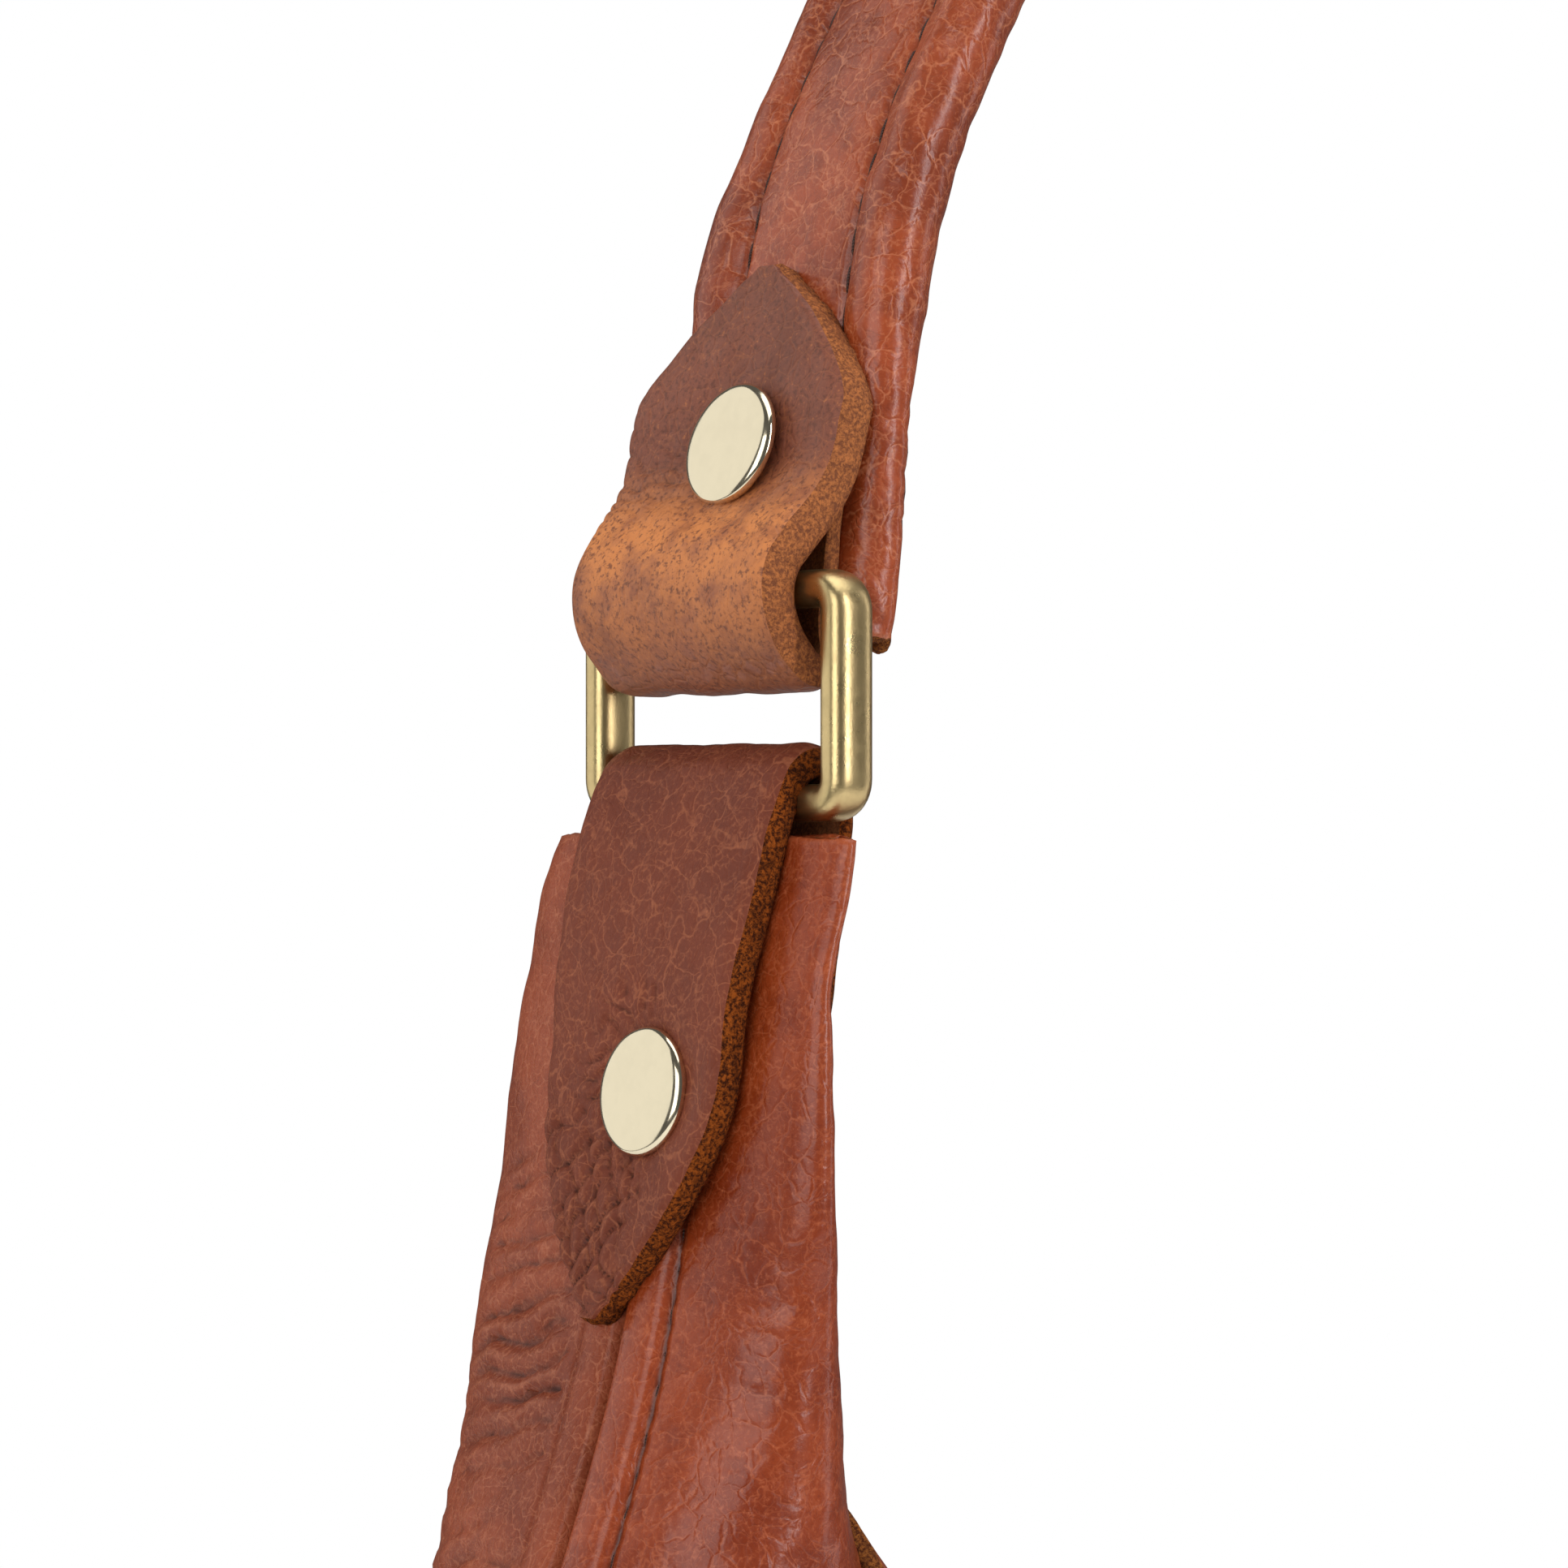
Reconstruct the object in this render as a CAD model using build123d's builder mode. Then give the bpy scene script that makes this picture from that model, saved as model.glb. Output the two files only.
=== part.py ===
"""Leather sling bag: an arched padded strap, two rectangular rings and a soft two-panel body.

Frame: X runs along the bag, Y from front (-Y) to back, Z up. The origin is the hanging point,
the middle of the strap's underside at its crown. Millimetres.
"""

import os
from math import cos, radians, sin

from build123d import *

os.makedirs("parts", exist_ok=True)

# Strap
STRAP_WIDTH = 22
STRAP_THICKNESS = 6
STRAP_EDGE_RADIUS = 2.8
CORE_WIDTH = 16
CORE_THICKNESS = 2.4
CORE_EDGE_RADIUS = 1.1
LINING_WIDTH = 12
LINING_THICKNESS = 1.2
CROWN_RADIUS = 200
CROWN_TURN = 50  # degrees from the crown to the shoulder
SHOULDER_RADIUS = 80
END_LEAN = 8  # degrees from vertical, where the strap meets its tab
STRAP_END_LENGTH = 22.2

# Rectangular rings
RING_INNER_WIDTH = 25.4
RING_INNER_HEIGHT = 13
RING_BAR = 2.8
RING_DEPTH = 4
RING_CORNER_RADIUS = 3
RING_INNER_CORNER = 1.5
RING_EDGE_RADIUS = 1.2
RING_SETBACK = 7.37  # from the upper bar to the middle of the strap
RING_RISE = 2.9  # the upper bar above the strap's cut end

# Tabs
TAB_WIDTH = 23
TAB_POINT = 11
UPPER_TAB_THICKNESS = 3.4
UPPER_BACK_LEG = 1.9
UPPER_TAB_TOP = 25.6
UPPER_BACK_TOP = 14
LOWER_TAB_THICKNESS = 2.4
LOWER_BACK_LEG = 1.6
LOWER_TAB_BOTTOM = 39
LOWER_BACK_BOTTOM = 26.6
LOWER_LEAN = 9
LOOP_INNER_RADIUS = 2.25

# Double-cap rivets
CAP_RADIUS = 4.8
CAP_HEIGHT = 1.2
CAP_EDGE_RADIUS = 0.5
POST_RADIUS = 1.5
POST_HOLE_RADIUS = 1.6
POST_HOLE_REACH = 10  # on the outer side of the ring bar; twice as far on the inner side
UPPER_RIVET_UP = 11
UPPER_RIVET_SIDE = -1  # towards the front
LOWER_RIVET_DOWN = 22.5
LOWER_RIVET_SIDE = -1.8

# Body panels
PANEL_THICKNESS = 1.6
TAPE_THICKNESS = 1
TAPE_WIDTH = 14
MOUTH_DIP = 124  # the mouth's middle below the rings
NECK_SLIT = 53  # where the mouth starts, below the rings
FILLER_WIDTH = 18
FILLER_LENGTH = 20
FILLER_THICKNESS = 0.85
FILLER_DOWN = 18  # its middle below the lower bar
FILLER_OUT = 0.6
POCKET_WIDTH = 150
POCKET_HEIGHT = 95
POCKET_TOP = 170

# Magnetic snap
SNAP_DROP = 146  # its middle below the rings
SNAP_REACH = 33.5  # its patches' middles from the bag's middle plane
SNAP_SLOPE = 30
SNAP_RADIUS = 9
PATCH_SIZE = 34
PATCH_THICKNESS = 1.6
PATCH_CORNER = 5
SNAP_EDGE_RADIUS = 0.8
SNAP_PIN_RADIUS = 3
STUD_HEIGHT = 2.2
SOCKET_HEIGHT = 3
PIN_HEIGHT = 1.4
PIN_HOLE_DEPTH = 1.8
WASHER_THICKNESS = 0.5

# Places that follow from the sizes above
LEAN = radians(END_LEAN)
END_TURN = 90 - CROWN_TURN - END_LEAN
strap_end_x = (
    CROWN_RADIUS * sin(radians(CROWN_TURN))
    + SHOULDER_RADIUS * (cos(LEAN) - sin(radians(CROWN_TURN)))
    + STRAP_END_LENGTH * sin(LEAN)
)
strap_end_z = (
    STRAP_THICKNESS / 2
    - CROWN_RADIUS * (1 - cos(radians(CROWN_TURN)))
    - SHOULDER_RADIUS * (cos(radians(CROWN_TURN)) - sin(LEAN))
    - STRAP_END_LENGTH * cos(LEAN)
)
BAR_DROP = (RING_INNER_HEIGHT + RING_BAR) / 2
ring_x = strap_end_x + RING_SETBACK * cos(LEAN) - RING_RISE * sin(LEAN)
ring_z = strap_end_z + RING_SETBACK * sin(LEAN) + RING_RISE * cos(LEAN) - BAR_DROP
strap_face = STRAP_THICKNESS / 2 - RING_SETBACK

# Planes of the right-hand end. In the two tab planes local x points outward and local y runs up
# along the strap or the neck, with the ring bar as origin; the rivet planes face outward.
UPPER_TAB_PLANE = Plane(
    origin=(ring_x, 0, ring_z + BAR_DROP),
    x_dir=(cos(LEAN), 0, sin(LEAN)),
    z_dir=(0, -1, 0),
)
NECK_LEAN = radians(LOWER_LEAN)
LOWER_TAB_PLANE = Plane(
    origin=(ring_x, 0, ring_z - BAR_DROP),
    x_dir=(cos(NECK_LEAN), 0, sin(NECK_LEAN)),
    z_dir=(0, -1, 0),
)


def facing_outward(tab_plane, out, up):
    """A plane at (out, up) in a tab plane that faces outward, with local y up along the tab."""
    return Plane(
        origin=tab_plane.from_local_coords(Vector(out, up, 0)),
        x_dir=(0, 1, 0),
        z_dir=tab_plane.x_dir,
    )


def rivet_hole(tab_plane, side, up):
    """The hole for a post, cut inward from in front of the tab, to add to a part."""
    with BuildPart() as hole:
        with BuildSketch(facing_outward(tab_plane, POST_HOLE_REACH, up)):
            with Locations((side, 0)):
                Circle(POST_HOLE_RADIUS)
        extrude(amount=-3 * POST_HOLE_REACH)
    return hole.part


def finish(piece, label):
    """Names a piece and writes it."""
    piece.label = label
    export_step(piece, f"parts/{label}.step")


def both_sides(piece, label):
    """Writes a right-hand piece and its mirror image as two pieces."""
    with BuildPart() as left:
        add(mirror(piece, about=Plane.YZ))
    finish(piece, f"{label}_right")
    finish(left.part, f"{label}_left")


def pair(piece, label):
    """Writes a right-hand fastener and its mirror image as one piece of two solids."""
    with BuildPart() as two:
        add(piece)
        mirror(about=Plane.YZ)
    finish(two.part, label)


upper_hole = rivet_hole(UPPER_TAB_PLANE, UPPER_RIVET_SIDE, UPPER_RIVET_UP)
lower_hole = rivet_hole(LOWER_TAB_PLANE, LOWER_RIVET_SIDE, -LOWER_RIVET_DOWN)


# ---- Strap: a wrapped leather cover over a flat core, closed below by a lining strip ----


def along_strap(section):
    """Sweeps a section along the whole arch, with the rivet holes through both ends."""
    with BuildPart() as piece:
        with BuildLine(Plane.XZ) as route:
            crown = JernArc(
                (0, STRAP_THICKNESS / 2), (1, 0), CROWN_RADIUS, -CROWN_TURN
            )
            shoulder = JernArc(crown @ 1, crown % 1, SHOULDER_RADIUS, -END_TURN)
            Line(shoulder @ 1, shoulder @ 1 + STRAP_END_LENGTH * (shoulder % 1))
            mirror(about=Plane.YZ)
        start = route.wires()[0]
        with BuildSketch(Plane(origin=start @ 0, x_dir=(0, 1, 0), z_dir=start % 0)):
            add(section)
        sweep(path=start)
        add(upper_hole, mode=Mode.SUBTRACT)
        add(mirror(upper_hole, about=Plane.YZ), mode=Mode.SUBTRACT)
    return piece.part


with BuildSketch() as core_section:
    RectangleRounded(CORE_WIDTH, CORE_THICKNESS, CORE_EDGE_RADIUS)

with BuildSketch() as lining_section:
    with Locations((0, (LINING_THICKNESS - STRAP_THICKNESS) / 2)):
        Rectangle(LINING_WIDTH, LINING_THICKNESS)

with BuildSketch() as cover_section:
    RectangleRounded(STRAP_WIDTH, STRAP_THICKNESS, STRAP_EDGE_RADIUS)
    add(core_section.sketch, mode=Mode.SUBTRACT)
    add(lining_section.sketch, mode=Mode.SUBTRACT)

finish(along_strap(cover_section.sketch), "strap_cover")
finish(along_strap(core_section.sketch), "strap_core")
finish(along_strap(lining_section.sketch), "strap_lining")

# ---- Rings ----

with BuildPart() as ring:
    with BuildSketch(Plane(origin=(ring_x, 0, ring_z), x_dir=(0, 1, 0), z_dir=(1, 0, 0))):
        RectangleRounded(
            RING_INNER_WIDTH + 2 * RING_BAR,
            RING_INNER_HEIGHT + 2 * RING_BAR,
            RING_CORNER_RADIUS,
        )
        RectangleRounded(
            RING_INNER_WIDTH, RING_INNER_HEIGHT, RING_INNER_CORNER, mode=Mode.SUBTRACT
        )
    extrude(amount=RING_DEPTH / 2, both=True)
    rims = ring.faces().filter_by(Axis.X).edges()
    fillet(rims, radius=RING_EDGE_RADIUS)
both_sides(ring.part, "ring")


# ---- Tabs: one leather strip each, folded round a ring bar and riveted ----


def tab_outline(plane, straight, tip):
    """A strip's outline seen square on, from its loop to its ogive tip. tip may be negative."""
    way = 1 if tip > 0 else -1
    shoulder = tip - way * TAB_POINT
    with BuildSketch(plane) as outline:
        with BuildLine():
            half = TAB_WIDTH / 2
            Polyline((half, shoulder), (half, straight), (-half, straight), (-half, shoulder))
            ThreePointArc(
                (-half, shoulder), (-0.62 * half, shoulder + 0.62 * (tip - shoulder)), (0, tip)
            )
            ThreePointArc(
                (0, tip), (0.62 * half, shoulder + 0.62 * (tip - shoulder)), (half, shoulder)
            )
        make_face()
    return outline.sketch


back_in = strap_face + 0.07
back_out = back_in + UPPER_BACK_LEG
face_out = 1.2
face_in = face_out - UPPER_TAB_THICKNESS
tip_out = -0.9
over_tip = UPPER_TAB_TOP + 1
with BuildPart() as upper_tab:
    with BuildSketch(UPPER_TAB_PLANE):
        with BuildLine():
            outside = FilletPolyline(
                (tip_out, over_tip), (face_out, 17), (face_out, 5.9), (6, 1.8),
                (5.2, -4.8), (-0.5, -8.6), (back_in, -4.4), (back_in, UPPER_BACK_TOP),
                radius=(10, 0.8, 3, 3, 3, 2.5),
            )
            inside = FilletPolyline(
                (back_out, UPPER_BACK_TOP), (back_out, -2.9), (-0.9, -5.2), (2.2, -3.6), (2.9, 0.6),
                (face_in, 6.6), (face_in, 15.6), (tip_out - UPPER_TAB_THICKNESS, over_tip),
                radius=(1, 1, 1, 1.5, 2, 9),
            )
            Line(outside @ 1, inside @ 0)
            Line(inside @ 1, outside @ 0)
        make_face()
    extrude(amount=TAB_WIDTH / 2, both=True)
    extrude(
        tab_outline(facing_outward(UPPER_TAB_PLANE, -6, 0), -10, UPPER_TAB_TOP),
        amount=14,
        mode=Mode.INTERSECT,
    )
    add(upper_hole, mode=Mode.SUBTRACT)
both_sides(upper_tab.part, "upper_tab")

neck_front = 2.6
neck_back = -2.3
leg_out = neck_front + 0.1
leg_back = neck_back - 0.3
loop_outer = LOOP_INNER_RADIUS + LOWER_TAB_THICKNESS
with BuildPart() as lower_tab:
    with BuildSketch(LOWER_TAB_PLANE):
        with BuildLine():
            Polyline(
                (leg_out, -3.2), (leg_out, -LOWER_TAB_BOTTOM - 1),
                (leg_out + LOWER_TAB_THICKNESS, -LOWER_TAB_BOTTOM - 1),
                (leg_out + LOWER_TAB_THICKNESS, -3.2),
            )
            Spline(
                (leg_out + LOWER_TAB_THICKNESS, -3.2), (0, loop_outer),
                (leg_back - LOWER_BACK_LEG, -3.2),
                tangents=((0, 1), (0, -1)),
            )
            Polyline(
                (leg_back - LOWER_BACK_LEG, -3.2), (leg_back - LOWER_BACK_LEG, -LOWER_BACK_BOTTOM),
                (leg_back, -LOWER_BACK_BOTTOM), (leg_back, -3.2),
            )
            Spline(
                (leg_back, -3.2), (0, LOOP_INNER_RADIUS), (leg_out, -3.2),
                tangents=((0, 1), (0, -1)),
            )
        make_face()
    extrude(amount=TAB_WIDTH / 2, both=True)
    extrude(
        tab_outline(facing_outward(LOWER_TAB_PLANE, -8, 0), 8, -LOWER_TAB_BOTTOM),
        amount=16,
        mode=Mode.INTERSECT,
    )
    add(lower_hole, mode=Mode.SUBTRACT)
both_sides(lower_tab.part, "lower_tab")


# ---- Rivets: a front cap, a post and a back cap at each tab ----


def rivet(tab_plane, side, up, front, back, name):
    """Writes the three pieces of one kind of rivet, clamping from back to front."""
    with BuildPart() as post:
        with BuildSketch(facing_outward(tab_plane, back, up)):
            with Locations((side, 0)):
                Circle(POST_RADIUS)
        extrude(amount=front - back)
    pair(post.part, f"{name}_posts")
    for label, seat, way in (("caps", front, 1), ("back_caps", back, -1)):
        with BuildPart() as cap:
            with BuildSketch(facing_outward(tab_plane, seat, up)):
                with Locations((side, 0)):
                    Circle(CAP_RADIUS)
            extrude(amount=way * CAP_HEIGHT)
            rims = cap.edges().filter_by(GeomType.CIRCLE)
            top = rims.sort_by(lambda edge: way * tab_plane.to_local_coords(edge.center()).X)
            fillet(top[-1], radius=CAP_EDGE_RADIUS)
        pair(cap.part, f"{name}_{label}")


rivet(
    UPPER_TAB_PLANE, UPPER_RIVET_SIDE, UPPER_RIVET_UP, face_out, strap_face - STRAP_THICKNESS,
    "upper_rivet",
)
rivet(
    LOWER_TAB_PLANE, LOWER_RIVET_SIDE, -LOWER_RIVET_DOWN, leg_out + LOWER_TAB_THICKNESS,
    leg_back - LOWER_BACK_LEG, "lower_rivet",
)


# ---- Body: a crescent of oval sections from one neck, through the belly, to the other ----


def at_ring(x, z):
    """A point given from the middle of the right-hand ring."""
    return Vector(ring_x + x, 0, ring_z + z)


def on_neck(out, down):
    """A point in the lower tab's plane."""
    return LOWER_TAB_PLANE.from_local_coords(Vector(out, -down, 0))


# (inner point, outer point, half thickness) from the neck's top to the belly's middle
neck_stations = [
    (on_neck(neck_back + 0.2, 2.8), on_neck(neck_front, 2.8), 16.5),
    (on_neck(neck_back, 15), on_neck(neck_front, 15), 17.3),
    (on_neck(neck_back - 0.1, 27), on_neck(neck_front - 0.1, 27), 17.8),
]
body_stations = [
    (at_ring(-3.5, -47.5), at_ring(8.6, -46), 18.3),
    (at_ring(-12, -64), at_ring(16.7, -67), 20),
    (at_ring(-28, -86), at_ring(25, -104), 26),
    (at_ring(-52, -99), at_ring(28, -152), 36),
    (at_ring(-84, -106), at_ring(7, -218), 46),
    (at_ring(-128, -110), at_ring(-68, -276), 53),
]
MIDDLE_STATION = (Vector(0, 0, ring_z - 112), Vector(0, 0, ring_z - 300), 55)


def mirrored(station):
    inner, outer, half_thickness = station
    return Vector(-inner.X, 0, inner.Z), Vector(-outer.X, 0, outer.Z), half_thickness


def station_face(station, inset):
    """The oval section at one station."""
    inner, outer, half_thickness = station
    across = outer - inner
    plane = Plane(
        origin=(inner + outer) / 2, x_dir=across, z_dir=across.cross(Vector(0, 1, 0))
    )
    with BuildSketch(plane) as section:
        Ellipse(across.length / 2 - inset, half_thickness - inset)
    return section.sketch


def crescent(necks, bodies, inset):
    """The body's solid form, drawn in by inset all over: straight necks and a full belly."""
    belly = [mirrored(s) for s in bodies] + [MIDDLE_STATION] + bodies[::-1]
    right_neck = necks + bodies[:1]
    left_neck = [mirrored(s) for s in right_neck]
    with BuildPart() as form:
        for run, straight in ((left_neck, True), (belly, False), (right_neck, True)):
            if len(run) > 1:
                loft(sections=[station_face(s, inset) for s in run], ruled=straight)
    return form.part


with BuildPart() as mouth:
    with BuildSketch(Plane.XZ):
        with BuildLine():
            left_top = (-ring_x + 4, ring_z - NECK_SLIT)
            right_top = (ring_x - 4, ring_z - NECK_SLIT)
            Spline(
                left_top, (0, ring_z - MOUTH_DIP), right_top,
                tangents=((0.5, -1), (0.5, 1)),
            )
            Polyline(right_top, (ring_x - 30, ring_z), (-ring_x + 30, ring_z), left_top)
        make_face()
    extrude(amount=100, both=True)

outer_form = crescent(neck_stations, body_stations, 0)
inner_form = crescent(neck_stations, body_stations, PANEL_THICKNESS)
lined_form = crescent([], body_stations, PANEL_THICKNESS + TAPE_THICKNESS)

with BuildPart() as shell:
    add(outer_form)
    add(inner_form, mode=Mode.SUBTRACT)
    add(mouth.part, mode=Mode.SUBTRACT)
    add(lower_hole, mode=Mode.SUBTRACT)
    add(mirror(lower_hole, about=Plane.YZ), mode=Mode.SUBTRACT)

with BuildPart() as front_panel:
    add(shell.part)
    split(bisect_by=Plane.XZ, keep=Keep.TOP)
finish(front_panel.part, "front_panel")

with BuildPart() as back_panel:
    add(shell.part)
    split(bisect_by=Plane.XZ, keep=Keep.BOTTOM)
finish(back_panel.part, "back_panel")

with BuildPart() as lined:
    add(inner_form)
    add(lined_form, mode=Mode.SUBTRACT)
    add(mouth.part, mode=Mode.SUBTRACT)

with BuildPart() as seam_tape:
    add(lined.part)
    with BuildSketch(Plane.XY.offset(ring_z - 62)):
        Rectangle(3 * ring_x, TAPE_WIDTH)
    extrude(amount=-300, mode=Mode.INTERSECT)
finish(seam_tape.part.solids().sort_by(SortBy.VOLUME)[-1], "seam_tape")

with BuildPart() as inner_pocket:
    add(lined.part)
    with BuildSketch(Plane.XY.offset(ring_z - POCKET_TOP)):
        with Locations((0, 50)):
            Rectangle(POCKET_WIDTH, 60)
    extrude(amount=-POCKET_HEIGHT, mode=Mode.INTERSECT)
finish(inner_pocket.part, "inner_pocket")

with BuildPart() as neck_filler:
    with BuildSketch(facing_outward(LOWER_TAB_PLANE, FILLER_OUT, -FILLER_DOWN)):
        Rectangle(FILLER_WIDTH, FILLER_LENGTH)
    extrude(amount=-FILLER_THICKNESS)
    add(lower_hole, mode=Mode.SUBTRACT)
both_sides(neck_filler.part, "neck_filler")

# ---- Magnetic snap: two halves on sewn patches, with their washers behind ----

for side, panel_name in ((-1, "front"), (1, "back")):
    slope = radians(SNAP_SLOPE)
    seat = Plane(
        origin=(0, side * SNAP_REACH, ring_z - SNAP_DROP),
        x_dir=(1, 0, 0),
        z_dir=(0, -side * cos(slope), -sin(slope)),
    )
    with BuildPart() as patch:
        with BuildSketch(seat):
            RectangleRounded(PATCH_SIZE, PATCH_SIZE, PATCH_CORNER)
        extrude(amount=PATCH_THICKNESS)
    finish(patch.part, f"snap_patch_{panel_name}")

    is_stud = panel_name == "back"
    half_height = STUD_HEIGHT if is_stud else SOCKET_HEIGHT
    with BuildPart() as snap_half:
        with BuildSketch(seat.offset(PATCH_THICKNESS)):
            Circle(SNAP_RADIUS)
        extrude(amount=half_height)
        rims = snap_half.edges().filter_by(GeomType.CIRCLE).sort_by(Axis.Y)
        fillet(rims[0] if is_stud else rims[-1], radius=SNAP_EDGE_RADIUS)
        with BuildSketch(seat.offset(PATCH_THICKNESS + half_height)):
            Circle(SNAP_PIN_RADIUS)
        if is_stud:
            extrude(amount=PIN_HEIGHT)
        else:
            extrude(amount=-PIN_HOLE_DEPTH, mode=Mode.SUBTRACT)
    finish(snap_half.part, "snap_stud" if is_stud else "snap_socket")

    with BuildPart() as washer:
        with BuildSketch(seat):
            Circle(SNAP_RADIUS - 1)
            Circle(SNAP_PIN_RADIUS - 0.5, mode=Mode.SUBTRACT)
        extrude(amount=-WASHER_THICKNESS)
    finish(washer.part, f"snap_washer_{panel_name}")
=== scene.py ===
"""Looks of the leather sling bag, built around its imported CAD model.

Ends of the bag are described in millimetres from the middle of their ring: out (away from the
bag's middle), y (front is negative) and up.
"""

import math

import bmesh
import bpy
import numpy as np
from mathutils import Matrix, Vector


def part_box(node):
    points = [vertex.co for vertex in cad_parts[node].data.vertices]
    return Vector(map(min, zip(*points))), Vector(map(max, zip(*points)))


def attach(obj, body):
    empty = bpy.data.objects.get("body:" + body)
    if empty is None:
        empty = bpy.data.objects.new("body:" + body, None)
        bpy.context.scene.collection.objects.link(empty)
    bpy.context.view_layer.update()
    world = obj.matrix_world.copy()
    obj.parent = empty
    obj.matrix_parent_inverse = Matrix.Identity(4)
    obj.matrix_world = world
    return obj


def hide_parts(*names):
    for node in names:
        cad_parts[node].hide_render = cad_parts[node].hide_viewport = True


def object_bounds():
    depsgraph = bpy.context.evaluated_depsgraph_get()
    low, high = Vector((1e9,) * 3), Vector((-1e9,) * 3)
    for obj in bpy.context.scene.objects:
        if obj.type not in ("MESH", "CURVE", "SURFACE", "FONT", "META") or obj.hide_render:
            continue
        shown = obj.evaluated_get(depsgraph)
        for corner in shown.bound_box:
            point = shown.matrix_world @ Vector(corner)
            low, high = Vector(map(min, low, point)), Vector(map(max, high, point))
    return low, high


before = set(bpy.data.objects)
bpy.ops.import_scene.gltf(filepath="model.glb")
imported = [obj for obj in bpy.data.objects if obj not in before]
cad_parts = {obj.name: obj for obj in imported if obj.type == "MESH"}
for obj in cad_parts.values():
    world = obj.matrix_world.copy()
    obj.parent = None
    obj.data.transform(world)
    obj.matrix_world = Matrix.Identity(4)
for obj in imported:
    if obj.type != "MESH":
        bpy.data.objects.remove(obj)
CAD_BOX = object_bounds()

MM = 0.001
RING_LOW, RING_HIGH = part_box("ring_right")
RING = (RING_LOW + RING_HIGH) / 2 / MM  # the right-hand ring's middle, in millimetres
LEFT, RIGHT = -1, 1
RIM_STEPS = 4  # layers of points across the edge of a sheet


def in_scene(name, data):
    made = bpy.data.objects.new(name, data)
    bpy.context.scene.collection.objects.link(made)
    return made


# ---- Camera: level, close to the left-hand ring ----

VIEW_AZIMUTH = math.radians(-40)
VIEW_DISTANCE = 330  # chosen, not solved from the photograph
LENS = 100.2
RING_RIGHT_OF_MIDDLE = -4.5  # where the ring stands in the picture, in mm at its distance
RING_ABOVE_MIDDLE = 6.5


def make_camera():
    back = Vector((math.sin(VIEW_AZIMUTH), -math.cos(VIEW_AZIMUTH), 0))
    right = Vector((math.cos(VIEW_AZIMUTH), math.sin(VIEW_AZIMUTH), 0))
    ring = Vector((-RING.x, RING.y, RING.z))
    aim = ring - RING_RIGHT_OF_MIDDLE * right - Vector((0, 0, RING_ABOVE_MIDDLE))
    data = bpy.data.cameras.new("camera")
    data.sensor_width = 36
    data.lens = LENS
    data.clip_start = 0.01
    camera = in_scene("camera", data)
    camera.location = (aim + VIEW_DISTANCE * back) * MM
    camera.rotation_mode = "QUATERNION"
    camera.rotation_quaternion = (-back).to_track_quat("-Z", "Y")
    bpy.context.scene.camera = camera


# ---- Numbers and curves ----


def ease(x, low, high):
    """0 below low, 1 above high, smooth between them."""
    t = np.clip((np.asarray(x, float) - low) / (high - low), 0, 1)
    return t * t * (3 - 2 * t)


def bump(x, middle, width):
    return np.exp(-(((np.asarray(x, float) - middle) / width) ** 2))


def furrows(phase, sharpness=0.6):
    """Rounded folds with a sharp furrow at each whole number: 0 on their tops, -1 in a furrow."""
    return np.abs(np.sin(math.pi * phase)) ** sharpness - 1


class Curve:
    """A smooth curve through rows of numbers, read by its length along chosen columns."""

    def __init__(self, rows, length_columns=(0, 1)):
        self.rows = np.array(rows, float)
        steps = np.diff(self.rows[:, list(length_columns)], axis=0)
        self.at = np.concatenate([[0], np.cumsum(np.linalg.norm(steps, axis=1))])
        self.length = self.at[-1]
        gaps = np.diff(self.at)[:, None]
        slopes = np.diff(self.rows, axis=0) / gaps
        inner = (slopes[:-1] * gaps[1:] + slopes[1:] * gaps[:-1]) / (gaps[:-1] + gaps[1:])
        self.tangents = np.vstack([slopes[:1], inner, slopes[-1:]])

    def __call__(self, where):
        where = np.clip(np.asarray(where, float), 0, self.length)
        i = np.clip(np.searchsorted(self.at, where, side="right") - 1, 0, len(self.at) - 2)
        gap = self.at[i + 1] - self.at[i]
        t = ((where - self.at[i]) / gap)[:, None]
        gap = gap[:, None]
        return (
            (2 * t**3 - 3 * t**2 + 1) * self.rows[i]
            + (t**3 - 2 * t**2 + t) * gap * self.tangents[i]
            + (3 * t**2 - 2 * t**3) * self.rows[i + 1]
            + (t**3 - t**2) * gap * self.tangents[i + 1]
        )


def hashed(cell, seed):
    """A repeatable number from -1 to 1 for each whole-number cell."""
    n = (cell * np.array([374761393, 668265263, 873357470])).sum(-1) + seed * 974711
    n = (n ^ (n >> 13)) * 1274126177
    return ((n ^ (n >> 16)) & 0xFFFF) / 32767.5 - 1


def noise(points, size, seed=0, octaves=2):
    """Smooth noise of about -1 to 1 with features of this size; size may differ by axis."""
    total, weight = 0, 1
    points = np.asarray(points, float) / np.asarray(size, float)
    for octave in range(octaves):
        p = points * 2**octave
        cell = np.floor(p).astype(np.int64)
        f = p - cell
        f = f * f * (3 - 2 * f)
        value = 0
        for corner in np.ndindex(2, 2, 2):
            share = np.prod(np.where(corner, f, 1 - f), axis=-1)
            value = value + share * hashed(cell + np.array(corner), seed + 17 * octave)
        total = total + weight * value
        weight *= 0.5
    return total


def normals(grid):
    """Unit normals of a grid of points, by rows and columns."""
    down = np.gradient(grid, axis=0)
    across = np.gradient(grid, axis=1)
    n = np.cross(down, across)
    return n / np.maximum(np.linalg.norm(n, axis=-1, keepdims=True), 1e-9)


# ---- Meshes ----


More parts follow.
